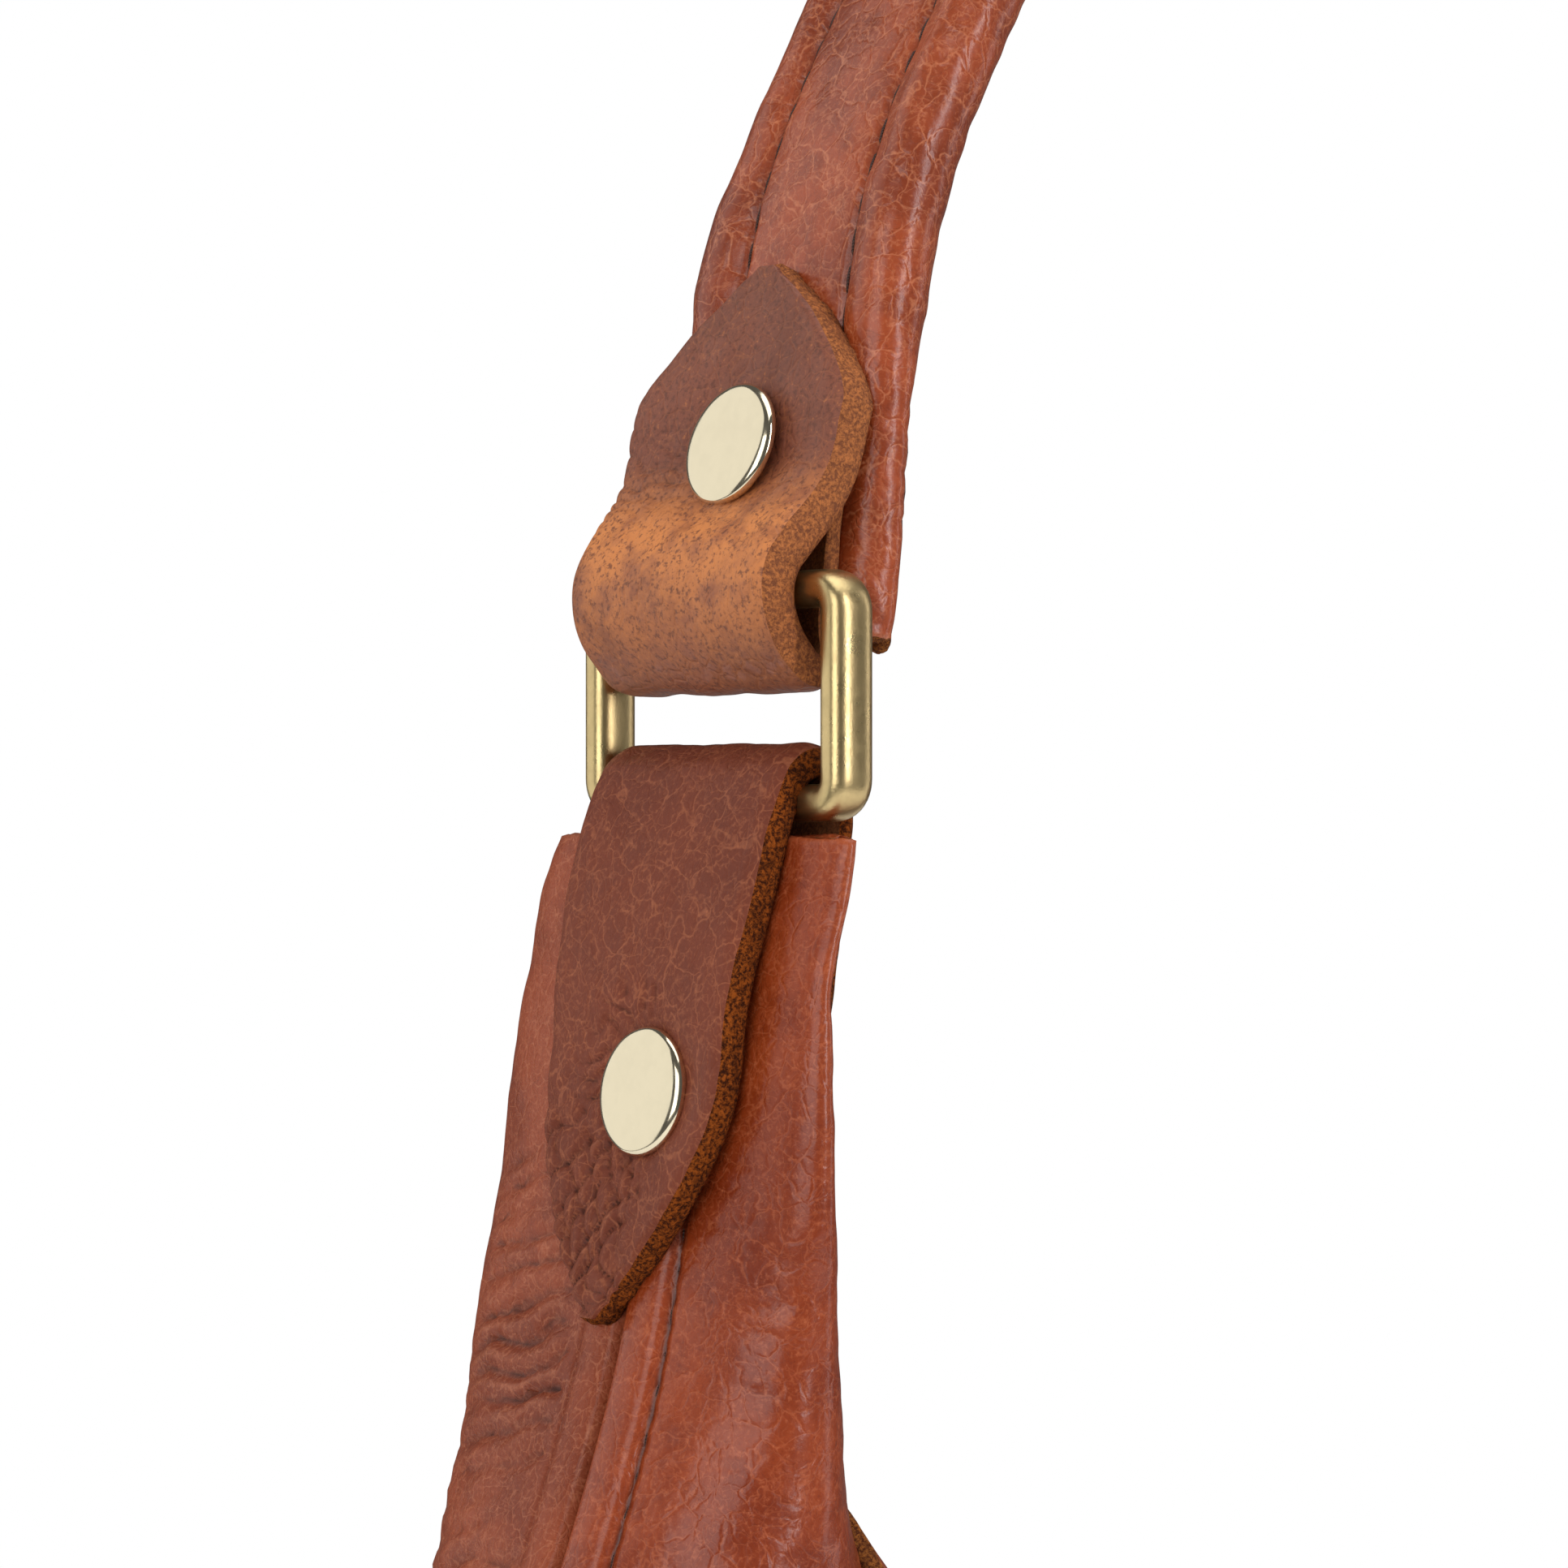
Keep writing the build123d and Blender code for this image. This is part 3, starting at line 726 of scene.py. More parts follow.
def make_ring(side):
    """A cast bar of rounded section, bent into a rectangle."""
    half_y, half_z = ((inner + RING_BAR) / 2 for inner in RING_INNER)
    corner = RING_CORNER - RING_BAR / 2
    path = []
    for k, (sy, sz) in enumerate(((1, 1), (-1, 1), (-1, -1), (1, -1))):
        centre = np.array([sy * (half_y - corner), sz * (half_z - corner)])
        for a in np.linspace(0, math.pi / 2, 11) + k * math.pi / 2:
            way = np.array([math.cos(a), math.sin(a)])
            path.append((centre + corner * way, way))
        length = (half_y if k % 2 == 0 else half_z) - corner
        turn = k * math.pi / 2 + math.pi / 2
        ahead = np.array([-math.sin(turn), math.cos(turn)])
        start = path[-1][0]
        for t in np.linspace(0, 1, 16)[1:-1]:
            path.append((start + 2 * length * t * ahead, path[-1][1]))
    section = []
    for a in np.linspace(0, 2 * math.pi, 40, endpoint=False):
        c, s = math.cos(a), math.sin(a)
        c, s = (math.copysign(abs(v) ** (2 / 2.6), v) for v in (c, s))
        section.append((c * RING_BAR / 2, s * RING_DEPTH / 2))
    grid = np.array(
        [[(w, *(at + r * way)) for r, w in section] for at, way in path]
    )
    points = place_end(side, grid)
    rows, columns = len(path), len(section)
    faces = grid_faces(rows, columns, wrap=True)
    for c in range(columns):
        d = (c + 1) % columns
        faces.append(((rows - 1) * columns + c, (rows - 1) * columns + d, d, c))
    name = "ring_" + side_name(side)
    ring = make_mesh(name + "_cast", points.reshape(-1, 3), faces, [RING_BRASS])
    stands_for(fix_winding(ring), name, name)


CAP_PROFILE = [
    (0, 1.28), (1.5, 1.27), (3.0, 1.23), (4.0, 1.15), (4.45, 1.03), (4.72, 0.82), (4.82, 0.55),
    (4.78, 0.28), (4.62, 0.08), (4.3, 0.0), (2.2, 0.0), (0, 0.0),
]


CAP_RINGS, CAP_SEGMENTS = 46, 72
UPPER_CAP_TILT = math.radians(8)


def make_caps(name, node, plane, seat, tilt, way, body):
    """Both ends' rivet caps of one kind: seat is out, along the strip and y; way is 1 for a cap
    that faces outward and -1 for one that faces inward."""
    curve = Curve(CAP_PROFILE)
    profile = curve(np.linspace(0, curve.length, CAP_RINGS))
    profile[-1] = profile[-1] * (0, 1)
    points, faces = [], []
    for side in (LEFT, RIGHT):
        start = len(points)
        for radius, height in profile:
            for a in np.linspace(0, 2 * math.pi, CAP_SEGMENTS, endpoint=False):
                across, rise = radius * math.cos(a), radius * math.sin(a)
                out = seat[0] + way * (height * math.cos(tilt)) - rise * math.sin(tilt)
                along = seat[1] + rise * math.cos(tilt) + way * height * math.sin(tilt)
                o, z = plane(out, along)
                points.append(place_end(side, (o, seat[2] + across, z)))
        faces += grid_faces(CAP_RINGS, CAP_SEGMENTS, start, wrap=True)
    piece = make_mesh(name, points, faces, [CAP_BRASS])
    stands_for(fix_winding(piece, join=True), node, body)


# ---- Strap ----

CROWN_RADIUS, CROWN_TURN = 200, math.radians(50)
SHOULDER_RADIUS, SHOULDER_TURN = 80, math.radians(32)
STRAP_END = 22.2
STRAP_HALF = 11
STRAP_THICKNESS = 6
COVER_THICKNESS = 1.5
STITCH_OFFSET = 6.15  # of the stitching on the outer face, from its middle
UNDER_STITCH = 17.9  # of the stitching on the underside, round from the outer face's middle


def strap_frame(distance):
    """Point and outward direction of the strap's middle line, this far from its crown."""
    d = np.abs(np.asarray(distance, float))
    sign = np.sign(distance)
    crown = np.clip(d / CROWN_RADIUS, 0, CROWN_TURN)
    rest = np.maximum(d - CROWN_RADIUS * CROWN_TURN, 0)
    shoulder = np.clip(rest / SHOULDER_RADIUS, 0, SHOULDER_TURN)
    line = np.maximum(rest - SHOULDER_RADIUS * SHOULDER_TURN, 0)
    turn = crown + shoulder
    x = CROWN_RADIUS * np.sin(crown) + SHOULDER_RADIUS * (np.sin(turn) - np.sin(crown))
    z = -CROWN_RADIUS * (1 - np.cos(crown)) - SHOULDER_RADIUS * (np.cos(crown) - np.cos(turn))
    x = x + line * np.cos(turn)
    z = z - line * np.sin(turn) + STRAP_THICKNESS / 2
    point = np.stack([sign * x, 0 * x, z], axis=-1)
    outward = np.stack([sign * np.sin(turn), 0 * x, np.cos(turn)], axis=-1)
    return point, outward


STRAP_LENGTH = CROWN_RADIUS * CROWN_TURN + SHOULDER_RADIUS * SHOULDER_TURN + STRAP_END


def spaced(length, fine, coarse, start, end):
    """Places along a length, closest together near both of its ends."""
    places = [0.0]
    while places[-1] < length / 2:
        places.append(places[-1] + fine + (coarse - fine) * float(ease(places[-1], start, end)))
    half = np.array(places) * (length / 2 / places[-1])
    return np.concatenate([half, length - half[-2::-1]])


def strap_section(q):
    """y, height and normal on the strap's outline, q mm round it from the outer face's middle."""
    radius = 2.9
    flat = STRAP_HALF - radius
    quarter = radius * math.pi / 2
    side = STRAP_THICKNESS - 2 * radius
    d = np.abs(q)
    a = np.clip((d - flat) / radius, 0, math.pi / 2)
    b = np.clip((d - flat - quarter - side) / radius, 0, math.pi / 2)
    y = np.minimum(d, flat) + radius * np.sin(a) - radius * (1 - np.cos(b))
    y = y - np.maximum(d - flat - 2 * quarter - side, 0)
    h = STRAP_THICKNESS / 2 - radius * (1 - np.cos(a)) - np.clip(d - flat - quarter, 0, side)
    h = h - radius * np.sin(b)
    angle = a + b
    return np.sign(q) * y, h, np.sign(q) * np.sin(angle), np.cos(angle)


def strap_bow(distance):
    """How far the strap's ends bow outward from the even arch."""
    return 1.35 * bump(STRAP_LENGTH - np.abs(distance), 31, 15)


def end_thinning(distance):
    """How much the underside draws in at the riveted ends."""
    return 1.15 * ease(np.abs(distance), STRAP_LENGTH - 27, STRAP_LENGTH - 15)


def strap_points(distance, q, depth):
    point, outward = strap_frame(distance)
    point = point + outward * strap_bow(distance)[..., None]
    y, h, ny, nh = strap_section(q)
    reach = (h + nh * depth)[..., None]
    across = (y + ny * depth)[..., None] * np.array([0, 1, 0])
    return point + outward * reach + across


COVER_HALF_GIRTH = 19.3


def strap_columns(girth):
    """Places round the strap, closest together at its stitching."""
    half = [0.0]
    while half[-1] < girth:
        half.append(half[-1] + 0.38 - 0.22 * float(bump(half[-1], STITCH_OFFSET, 1.1)))
    half = np.array(half) * girth / half[-1]
    return np.concatenate([-half[:0:-1], half])


def strap_relief(distance, q):
    d = np.abs(q)
    groove = -0.42 * bump(d, STITCH_OFFSET, 0.30) - 0.22 * bump(d, STITCH_OFFSET, 0.9)
    roll = 0.62 * bump(d, 9.6, 2.3) + 0.25 * bump(d, 12.2, 2.0)
    roll = roll - end_thinning(distance) * ease(d, 12, 15)
    crown = 0.22 * ease(-d, -5.6, -3)
    at = np.stack([distance, q, 0 * q], axis=-1)
    pulls = 0.10 * np.sin(distance * 2 * math.pi / 3.25) * bump(d, STITCH_OFFSET, 1.0)
    from_end = STRAP_LENGTH - np.abs(distance)
    roll = roll + 1.6 * ease(-from_end, -41, -28) * bump(d, 12.8, 4) * (q > 0)
    creases = -0.20 * np.clip(1 - np.abs(noise(at, (1.5, 6, 1), 11, 2)) * 1.6, 0, 1) ** 4
    creases = creases * ease(-from_end, -34, -6) * ease(d, 7.2, 10)
    pinch = -0.15 * ease(-from_end, -4.0, 0) * ease(d, 7, 10)
    return groove + roll + crown + 0.4 * pulls + creases + pinch + 0.13 * noise(at, 3.4, 12)


def make_strap():
    places = spaced(2 * STRAP_LENGTH, 0.62, 2.1, 55, 100) - STRAP_LENGTH
    q = strap_columns(COVER_HALF_GIRTH)
    d, qq = np.meshgrid(places, q, indexing="ij")
    frayed = 0.35 * noise(np.stack([0 * qq, qq, 0 * qq], -1), 0.8, 21)
    end = ease(np.abs(d), STRAP_LENGTH - 2.5, STRAP_LENGTH)
    d_frayed = d + np.sign(d) * frayed * end
    relief = strap_relief(d, qq)
    outer = strap_points(d_frayed, qq, relief)
    inner = strap_points(d_frayed, qq, np.minimum(relief, 0) - COVER_THICKNESS)
    cover = slab("strap_cover_leather", outer, inner, [STRAP_LEATHER, FLESH, EDGE], rough=0.2)
    stands_for(cover, "strap_cover", "strap")

    for name, node, half, top, bottom, materials, slot in (
        ("strap_core_felt", "strap_core", 8.2, 1.2, -1.6, [FELT] * 3, "core_foam"),
        ("strap_lining_suede", "strap_lining", 6.0, -1.8, -3.05, [FLESH, FLESH, EDGE], "suede_side"),
    ):
        y = np.linspace(-half, half, 41)
        d, yy = np.meshgrid(places[::2], y, indexing="ij")
        point, outward = strap_frame(d)
        point = point + outward * strap_bow(d)[..., None]
        across = yy[..., None] * np.array([0, 1, 0])
        at = np.stack([d, yy, 0 * d], axis=-1)
        sheets = []
        for height in (bottom, top):
            rounding = 0.35 * np.clip(np.abs(yy) / half, 0, 1) ** 8 * np.sign(top - height + 1e-6)
            h = height + 0.06 * noise(at, 1.6, 14) + (rounding if height == bottom else -rounding)
            if height == bottom or node == "strap_lining":
                h = h + end_thinning(d)
            sheets.append(point + outward * h[..., None] + across)
        piece = slab(name, sheets[0], sheets[1], materials, rim_round=0.3)
        stands_for(piece, node, "strap")

    line = np.linspace(-STRAP_LENGTH + 1.5, STRAP_LENGTH - 1.5, 900)
    rows = []
    for offset, depth, up in ((STITCH_OFFSET, -0.40, 1), (UNDER_STITCH, 0.1, -1)):
        for side in (-1, 1):
            path = strap_points(line, np.full_like(line, side * offset), depth)
            rows.append((path, up * strap_frame(line)[1]))
    make_stitches("strap_stitches", rows, "strap")


# ---- Body ----

# Inner out and up, outer out and up, reach to the front and to the back, from a neck's top down
NECK_ROWS = [
    (-1.1, -10.7, 3.1, -10.5, 16.2, 18.4),
    (-0.5, -16, 4.3, -16, 16.2, 20.4),
    (-0.1, -22, 5.3, -22, 16.5, 22.6),
    (-0.4, -30, 6.5, -30, 17.1, 23.9),
    (-1.4, -38, 7.6, -38, 16.8, 24.2),
    (-2.8, -45, 9.1, -45, 15.6, 24.2),
    (-3.9, -50, 10.4, -50, 15.2, 23.8),
    (-4.9, -55, 12.1, -55.3, 15.0, 23.2),
    (-6.2, -60, 14.2, -61, 14.9, 23.2),
    (-8.4, -65, 16.9, -68, 15.2, 23.2),
    (-15, -75, 21, -82, 18.4, 24.9),
    (-28, -86, 25, -104, 26, 29.5),
    (-52, -99, 28, -152, 36, 38),
    (-84, -106, 7, -218, 46, 47),
    (-128, -110, -68, -276, 53, 53),
]
BELLY_ROW = (0, -112, 0, -300, 55, 55)
PANEL_THICKNESS = 1.6
SEAM_BAND = 7
SEAM_COLUMNS = 30
PANEL_COLUMNS = 104
SEAM_STITCH = 4.75
STITCHES_START, TAPE_START = 30, 52  # from each neck's top


def body_curve():
    rows = np.array(NECK_ROWS, float)
    right = rows.copy()
    right[:, 0] += RING.x
    right[:, 2] += RING.x
    middle = np.array([BELLY_ROW], float)
    full = np.vstack([right * (-1, 1, -1, 1, 1, 1), middle, right[::-1]])
    full[:, 1] += RING.z
    full[:, 3] += RING.z
    return Curve(full, (0, 1, 2, 3))


BODY = body_curve()


def from_nearer_end(where):
    return np.minimum(where, BODY.length - where)


def body_section(where, angle, back):
    """Points of the body's form at one place along it, for angles from its outer edge.
    back is True for the back panel's half."""
    xi, zi, xo, zo, front_reach, back_reach = BODY([where])[0]
    from_end = from_nearer_end(where)
    neck = float(ease(-from_end, -150, -60))
    reach = back_reach if back else front_reach
    outer_power = 2.1 + ((0.9 if back else 0.05) * neck)
    over = angle > math.pi
    power = np.where(np.cos(angle) > 0, outer_power, 2.0)
    reach = np.where(over, front_reach if back else back_reach, reach)
    c = np.sign(np.cos(angle)) * np.abs(np.cos(angle)) ** (2 / power)
    s = np.sign(np.sin(angle)) * np.abs(np.sin(angle)) ** (2 / power)
    way = 1 if back else -1
    middle = np.array([(xi + xo) / 2, 0, (zi + zo) / 2])
    arm = np.array([(xo - xi) / 2, 0, (zo - zi) / 2])
    points = middle + c[:, None] * arm
    y = way * s * reach
    twist = -0.07 * float(ease(-from_end, -60, -30)) * float(ease(from_end, 4, 16))
    points[:, 1] = y
    points[:, 0] += math.copysign(1, xo) * twist * y
    return points


def panel_end(from_end, back):
    """The angle at which a panel ends: in the necks they meet, then part for the mouth."""
    low = ease(from_end, 58, 84)
    if not back:
        return np.radians(178 - 28 * low)
    wrapped = 178 + 50 * low
    return np.radians(wrapped - (wrapped - 151) * ease(from_end, 88, 135))


def panel_grid(back):
    """The panel's middle form: points, distance round from the seam and place along."""
    places = spaced(BODY.length, 0.66, 2.7, 62, 120)
    grid, arcs = [], []
    for where in places:
        from_end = from_nearer_end(where)
        end = float(panel_end(from_end, back))
        angles = np.linspace(0, end, 500)
        line = body_section(where, angles, back)
        arc = np.concatenate([[0], np.cumsum(np.linalg.norm(np.diff(line, axis=0), axis=1))])
        near = np.linspace(0, SEAM_BAND, SEAM_COLUMNS, endpoint=False)
        far = np.linspace(SEAM_BAND, arc[-1], PANEL_COLUMNS - SEAM_COLUMNS)
        s = np.concatenate([near, far])
        grid.append(read(s, arc, line))
        arcs.append(s)
    grid, arcs = np.array(grid), np.array(arcs)
    where = np.repeat(places[:, None], PANEL_COLUMNS, axis=1)
    return grid, arcs, where


def body_relief(arc, where, back, facing):
    """Seam, creases and slack of a panel. facing is 1 on its outer face and 0 past its fold."""
    from_end = from_nearer_end(where)
    strip = np.sqrt(np.maximum(1 - ((arc - 2.3) / 2.3) ** 2, 0))
    seam = 0.95 * strip - 0.9 * bump(arc, 0, 0.30) - 0.32 * bump(arc, SEAM_STITCH, 0.40)
    at = np.stack([from_end, arc, 0 * arc + 40 * back + 7 * (where > BODY.length / 2)], axis=-1)
    clear = ease(arc, 4.8, 8)
    depth = np.clip(0.7 + 0.7 * noise(at, (6, 9, 9), 61), 0.15, 1) * facing
    if back:
        creased = ease(-from_end, -125, -75) * ease(from_end, 30, 44) * clear
        phase = (from_end - 0.36 * arc) / 3.5 + 0.55 * noise(at, (8, 6, 9), 31)
        creases = 1.05 * furrows(phase, 0.7) * depth * creased
        small = 0.20 * furrows(phase * 2.1 + noise(at, (4, 4, 9), 67)) * creased * facing
    else:
        creased = ease(-from_end, -120, -80) * ease(from_end, 26, 40) * clear
        phase = (from_end - 0.10 * arc) / 3.1 + 0.8 * noise(at, (8, 9, 9), 33)
        creases = 0.36 * furrows(phase, 0.5) * depth * creased
        small = 0.10 * furrows(phase * 2.3 + noise(at, (3, 5, 9), 69), 0.5) * creased * facing
    belly = ease(from_end, 70, 150)
    slouch = 3.2 * noise(at, (62, 48, 90), 41, 2) * belly * ease(arc, 8, 40)
    folds = np.clip(1 - 1.5 * np.abs(noise(at, (46, 95, 90), 43, 1)), 0, 1) ** 2
    slouch = slouch - 2.6 * folds * belly * ease(arc, 10, 50)
    slouch = slouch * (1 - 0.9 * bump(where, BODY.length / 2, 26) * ease(arc, 60, 95))
    soft = 0.10 * noise(at, 4.2, 47, 2) * clear + 0.5 * noise(at, 15, 53, 2) * belly * clear
    puckers = 0.05 * np.sin(where * 2 * math.pi / 3.05) * bump(arc, SEAM_STITCH, 1.1)
    return seam + creases + small + slouch + soft + puckers


def make_panel(back):
    grid, arc, where = panel_grid(back)
    way = -1 if back else 1
    outward = normals(grid) * way
    from_end = from_nearer_end(where)
    share = arc / arc[:, -1:]
    if back:
        lifted = ease(from_end, 66, 92) * ease(-from_end, -140, -105) * ease(share, 0.62, 0.78)
        grid = grid + outward * (2.6 * lifted)[..., None]
    reach = np.abs(grid[..., 1])
    reach = reach / reach.max(axis=1, keepdims=True)
    before_fold = np.arange(grid.shape[1])[None] <= reach.argmax(axis=1)[:, None]
    facing = before_fold * (1 - ease(reach, 0.80, 0.97))
    relief = body_relief(arc, where, back, facing)
    outer = grid + outward * relief[..., None]
    inner = outer - normals(outer) * way * PANEL_THICKNESS
    name = "back_panel" if back else "front_panel"
    materials = [LEATHER if back else FRONT_LEATHER, FLESH, EDGE]
    piece = slab(name + "_leather", outer, inner, materials, rims=(0, 0, 0, 2), rough=0.14)
    stands_for(piece, name, "bag")
    return grid, outer, inner, normals(outer) * way, arc, where


def seam_rows(outer, outward, arc, where):
    """Paths of a panel's topstitching, beside the bottom seam."""
    column = int(np.argmin(np.abs(arc[0] - SEAM_STITCH)))
    kept = from_nearer_end(where[:, 0]) > STITCHES_START
    return outer[kept, column] - 0.06 * outward[kept, column], outward[kept, column]


POCKET_HALF = 75
POCKET_BOTTOM, POCKET_TOP = -399, -305
POCKET_THICKNESS = 1.2


def make_pocket(inner):
    """A slip pocket sewn to the inside of the back panel, with slack along its open top."""
    rows = [row for row in inner if abs(row[row.shape[0] // 2, 0]) < POCKET_HALF]
    heights = np.linspace(POCKET_BOTTOM, POCKET_TOP, 48)
    lining = np.array([read(heights, row[:, 2], row) for row in rows])
    inward = normals(lining)
    inward = inward * -np.sign(inward[..., 1:2])
    across = np.clip(np.abs(lining[..., 0]) / POCKET_HALF, 0, 1)
    slack = ease(lining[..., 2], POCKET_TOP - 60, POCKET_TOP) * (1 - across ** 4)
    lift = 0.3 + slack * (2.2 + 1.2 * noise(lining, 26, 83))
    near = lining + inward * lift[..., None]
    far = near + inward * POCKET_THICKNESS
    pocket = slab("pocket_suede", far, near, [FLESH, FLESH, EDGE], rough=0.12)
    stands_for(pocket, "inner_pocket", "bag")
    edges = (2, slice(None)), (-3, slice(None)), (slice(None), 2)  # both sides, then the bottom
    return [(far[edge] + 0.02 * inward[edge], inward[edge]) for edge in edges]


TAPE_HALF = 7
TAPE_DEPTH = 2.7  # below the panels' outer faces
TAPE_THICKNESS = 0.9


def make_tape(front, back, front_arc, back_arc, where):
    """The tape that binds the bottom seam inside the bag."""
    kept = from_nearer_end(where[:, 0]) > TAPE_START
    around = np.linspace(0, TAPE_HALF, 10)

    def beside(grid, arc):
        return np.array([read(around, a, row) for row, a in zip(grid, arc)])

    left, right = beside(front[kept], front_arc[kept]), beside(back[kept], back_arc[kept])
    strip = np.concatenate([left[:, ::-1], right[:, 1:]], axis=1)
    middle = np.array([0, 0, float(strip[:, :, 2].max())])
    inward = normals(strip)
    turned = np.sign((inward * (middle - strip)).sum(-1, keepdims=True))
    inward = inward * turned
    ripple = 0.12 * noise(strip, 5, 87)
    near = strip + inward * (TAPE_DEPTH + ripple)[..., None]
    far = near + inward * TAPE_THICKNESS
    tape = slab("seam_tape_woven", far, near, [TAPE] * 3, rough=0.05)
    stands_for(tape, "seam_tape", "bag")


def make_body():
    front, outer, _, outward, front_arc, where = make_panel(False)
    rows = [seam_rows(outer, outward, front_arc, where)]
    back, outer, inner, outward, back_arc, where = make_panel(True)
    rows.append(seam_rows(outer, outward, back_arc, where))
    rows += make_pocket(inner)
    make_tape(front, back, front_arc, back_arc, where)
    make_stitches("seam_stitches", rows, "bag")


# ---- Light, floor and the rest ----


def make_light(name, place, size, power, colour=(1, 1, 1), target=None):
    data = bpy.data.lights.new(name, "AREA")
    data.shape = "RECTANGLE"
    data.size, data.size_y = size
    data.energy = power
    data.color = colour
    light = in_scene(name, data)
    light.location = place
    aim = Vector(target) - Vector(place)
    light.rotation_mode = "QUATERNION"
    light.rotation_quaternion = aim.to_track_quat("-Z", "Y")


def make_studio():
    world = bpy.data.worlds.new("studio")
    bpy.context.scene.world = world
    world.use_nodes = True
    tree = world.node_tree
    path = tree.nodes.new("ShaderNodeLightPath")

    def sky(strength):
        made = tree.nodes.new("ShaderNodeBackground")
        made.inputs["Color"].default_value = (1, 1, 1, 1)
        made.inputs["Strength"].default_value = strength
        return made.outputs[0]

    def chosen(ray, without, seen):
        mix = tree.nodes.new("ShaderNodeMixShader")
        tree.links.new(path.outputs[ray], mix.inputs[0])
        tree.links.new(without, mix.inputs[1])
        tree.links.new(seen, mix.inputs[2])
        return mix.outputs[0]

    lit = chosen("Is Glossy Ray", sky(0.47), sky(0.10))
    seen = chosen("Is Camera Ray", lit, sky(1.0))
    tree.links.new(seen, tree.nodes["World Output"].inputs["Surface"])
    bpy.context.scene.view_settings.view_transform = "Standard"
    ring = Vector((-RING.x, 0, RING.z)) * MM
    up = Vector((0, 0, 1))

    def beside(azimuth, distance, rise):
        a = VIEW_AZIMUTH + math.radians(azimuth)
        return ring + distance * Vector((math.sin(a), -math.cos(a), 0)) + rise * up

    for name, place, size, power, colour in (
        ("key", beside(52, 1.0, 0.28), (0.13, 0.95), 4.6, (1.0, 0.97, 0.99)),
        ("edge", beside(108, 1.0, 0.1), (0.14, 1.2), 1.2, (1.0, 0.97, 1.0)),
        ("fill", beside(-30, 1.1, 0.2), (0.8, 1.0), 5.8, (1.0, 1.0, 1.0)),
        ("rear_left", beside(-100, 1.0, 0.2), (1.1, 1.7), 5.0, (1.0, 1.0, 0.98)),
    ):
        make_light(name, place, size, power, colour, target=ring)
    make_light("overhead", (0, -0.2, 1.0), (1.2, 1.0), 7, target=(0, 0, -0.2))


FLOOR_RADIUS, FLOOR_GAP = 0.6, 0.004  # in metres


def make_floor():
    mesh = bpy.data.meshes.new("floor")
    bm = bmesh.new()
    bmesh.ops.create_circle(bm, cap_ends=True, radius=FLOOR_RADIUS, segments=96)
    bm.to_mesh(mesh)
    bm.free()
    n = Nodes("floor")
    n.shade(Base_Color=(0.9, 0.9, 0.9, 1), Roughness=0.6)
    mesh.materials.append(n.material)
    floor = in_scene("floor", mesh)
    floor.location.z = CAD_BOX[0].z - FLOOR_GAP


SOFT_COPIES = (
    # CAD node, size of its remeshed faces, rise of its middle, size and height of its ripples
    ("snap_patch_front", 0.55, 0.35, 5, 0.20),
    ("snap_patch_back", 0.55, 0.35, 5, 0.20),
    ("neck_filler_left", 0.30, 0.0, 4, 0.10),
    ("neck_filler_right", 0.30, 0.0, 4, 0.10),
)


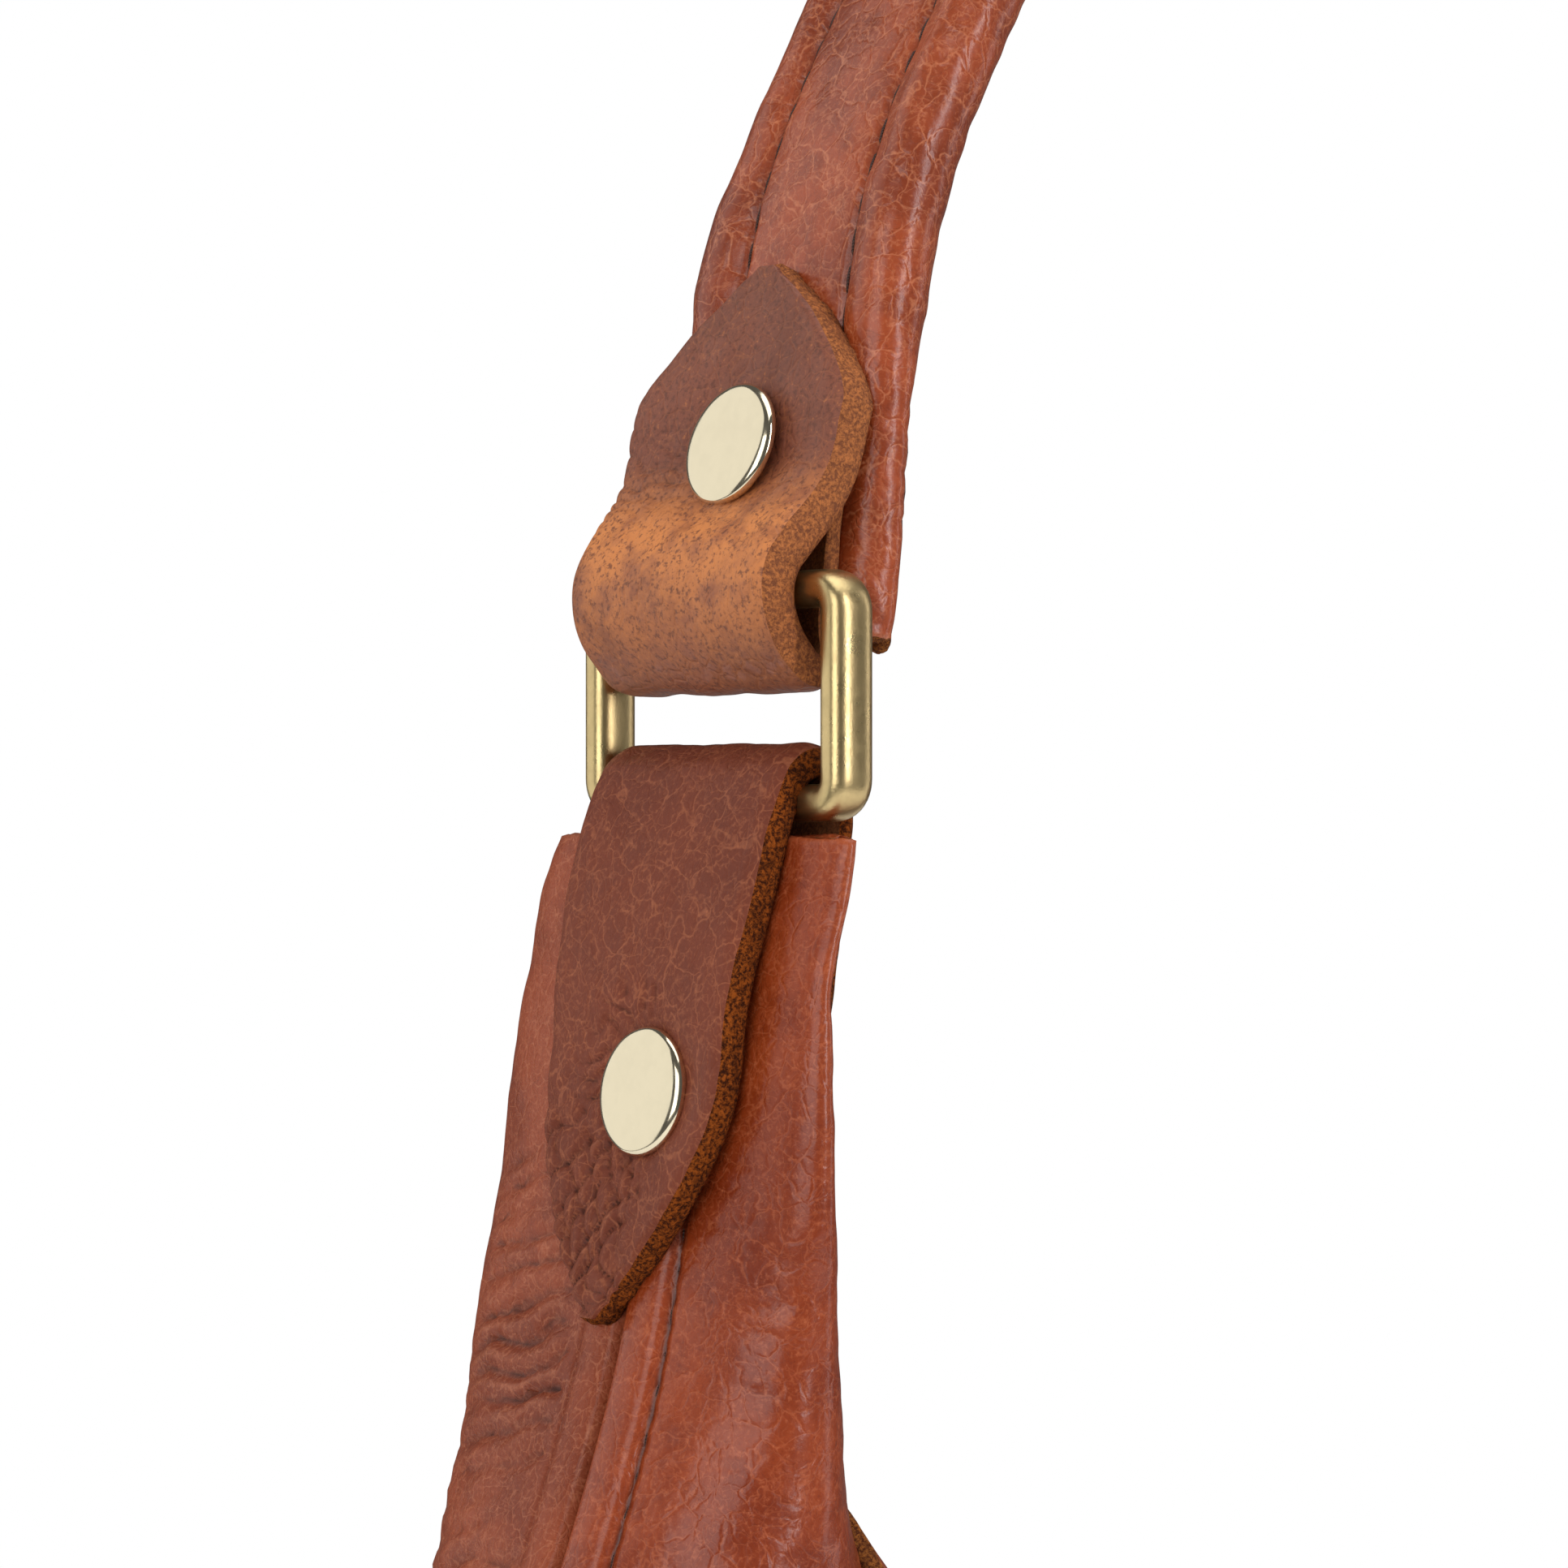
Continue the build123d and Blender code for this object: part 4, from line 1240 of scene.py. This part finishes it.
def soften(name, voxel, rise, ripple, height, material):
    """A soft rounded and rippled piece made from the form of a plain CAD solid."""
    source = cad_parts[name]
    mesh = source.data.copy()
    mesh.transform(source.matrix_world)
    mesh.materials.clear()
    rough = in_scene(name + "_form", mesh)
    remesh = rough.modifiers.new("remesh", "REMESH")
    remesh.mode = "VOXEL"
    remesh.voxel_size = voxel * MM
    relax = rough.modifiers.new("relax", "SMOOTH")
    relax.factor = 0.5
    relax.iterations = 5
    graph = bpy.context.evaluated_depsgraph_get()
    soft = bpy.data.meshes.new_from_object(rough.evaluated_get(graph))
    bpy.data.objects.remove(rough)
    points, ways = np.empty((2, 3 * len(soft.vertices)))
    soft.vertices.foreach_get("co", points)
    soft.vertices.foreach_get("normal", ways)
    points, ways = points.reshape(-1, 3) / MM, ways.reshape(-1, 3)
    middle = points.mean(axis=0)
    away = np.linalg.norm(points - middle, axis=1)
    lift = rise * (1 - (away / away.max()) ** 2) + height * noise(points, ripple, 71, 2)
    moved = (points + ways * lift[:, None]) * MM
    soft.vertices.foreach_set("co", moved.ravel())
    soft.polygons.foreach_set("use_smooth", [True] * len(soft.polygons))
    soft.materials.clear()
    soft.materials.append(material)
    piece = in_scene(name + "_soft", soft)
    stands_for(piece, name, "bag")


def finish_cad_nodes():
    """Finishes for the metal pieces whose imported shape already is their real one, and soft
    pieces in place of the plain inner ones."""
    snap = brass("snap_metal", (0.62, 0.52, 0.32), 0.22, 0.004)
    patch = leather("patch_leather", (0.235, 0.06, 0.026), (0.11, 0.024, 0.01), (0.5, 0.19, 0.085))
    for name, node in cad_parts.items():
        if name.startswith(("snap_stud", "snap_socket", "snap_washer")):
            material = snap
        elif "rivet" in name:
            material = CAP_BRASS
        else:
            continue
        node.data.materials.clear()
        node.data.materials.append(material)
    for name, *form in SOFT_COPIES:
        soften(name, *form, patch if "patch" in name else FLESH)


make_camera()
make_studio()
make_floor()
for side in (LEFT, RIGHT):
    make_upper_tab(side)
    make_lower_tab(side)
    make_ring(side)
for end, plane, seat, rear_out, tilt, body in (
    ("upper", from_upper_bar, UPPER_RIVET, UPPER_REAR_OUT, UPPER_CAP_TILT, "strap"),
    ("lower", from_lower_bar, LOWER_RIVET, LOWER_REAR_OUT, 0, "bag"),
):
    rivet = end + "_rivet_"
    make_caps(rivet + "front_caps", rivet + "caps", plane, seat, tilt, 1, body)
    rear_seat = (rear_out, *seat[1:])
    make_caps(rivet + "rear_caps", rivet + "back_caps", plane, rear_seat, 0, -1, body)
make_strap()
make_body()
finish_cad_nodes()
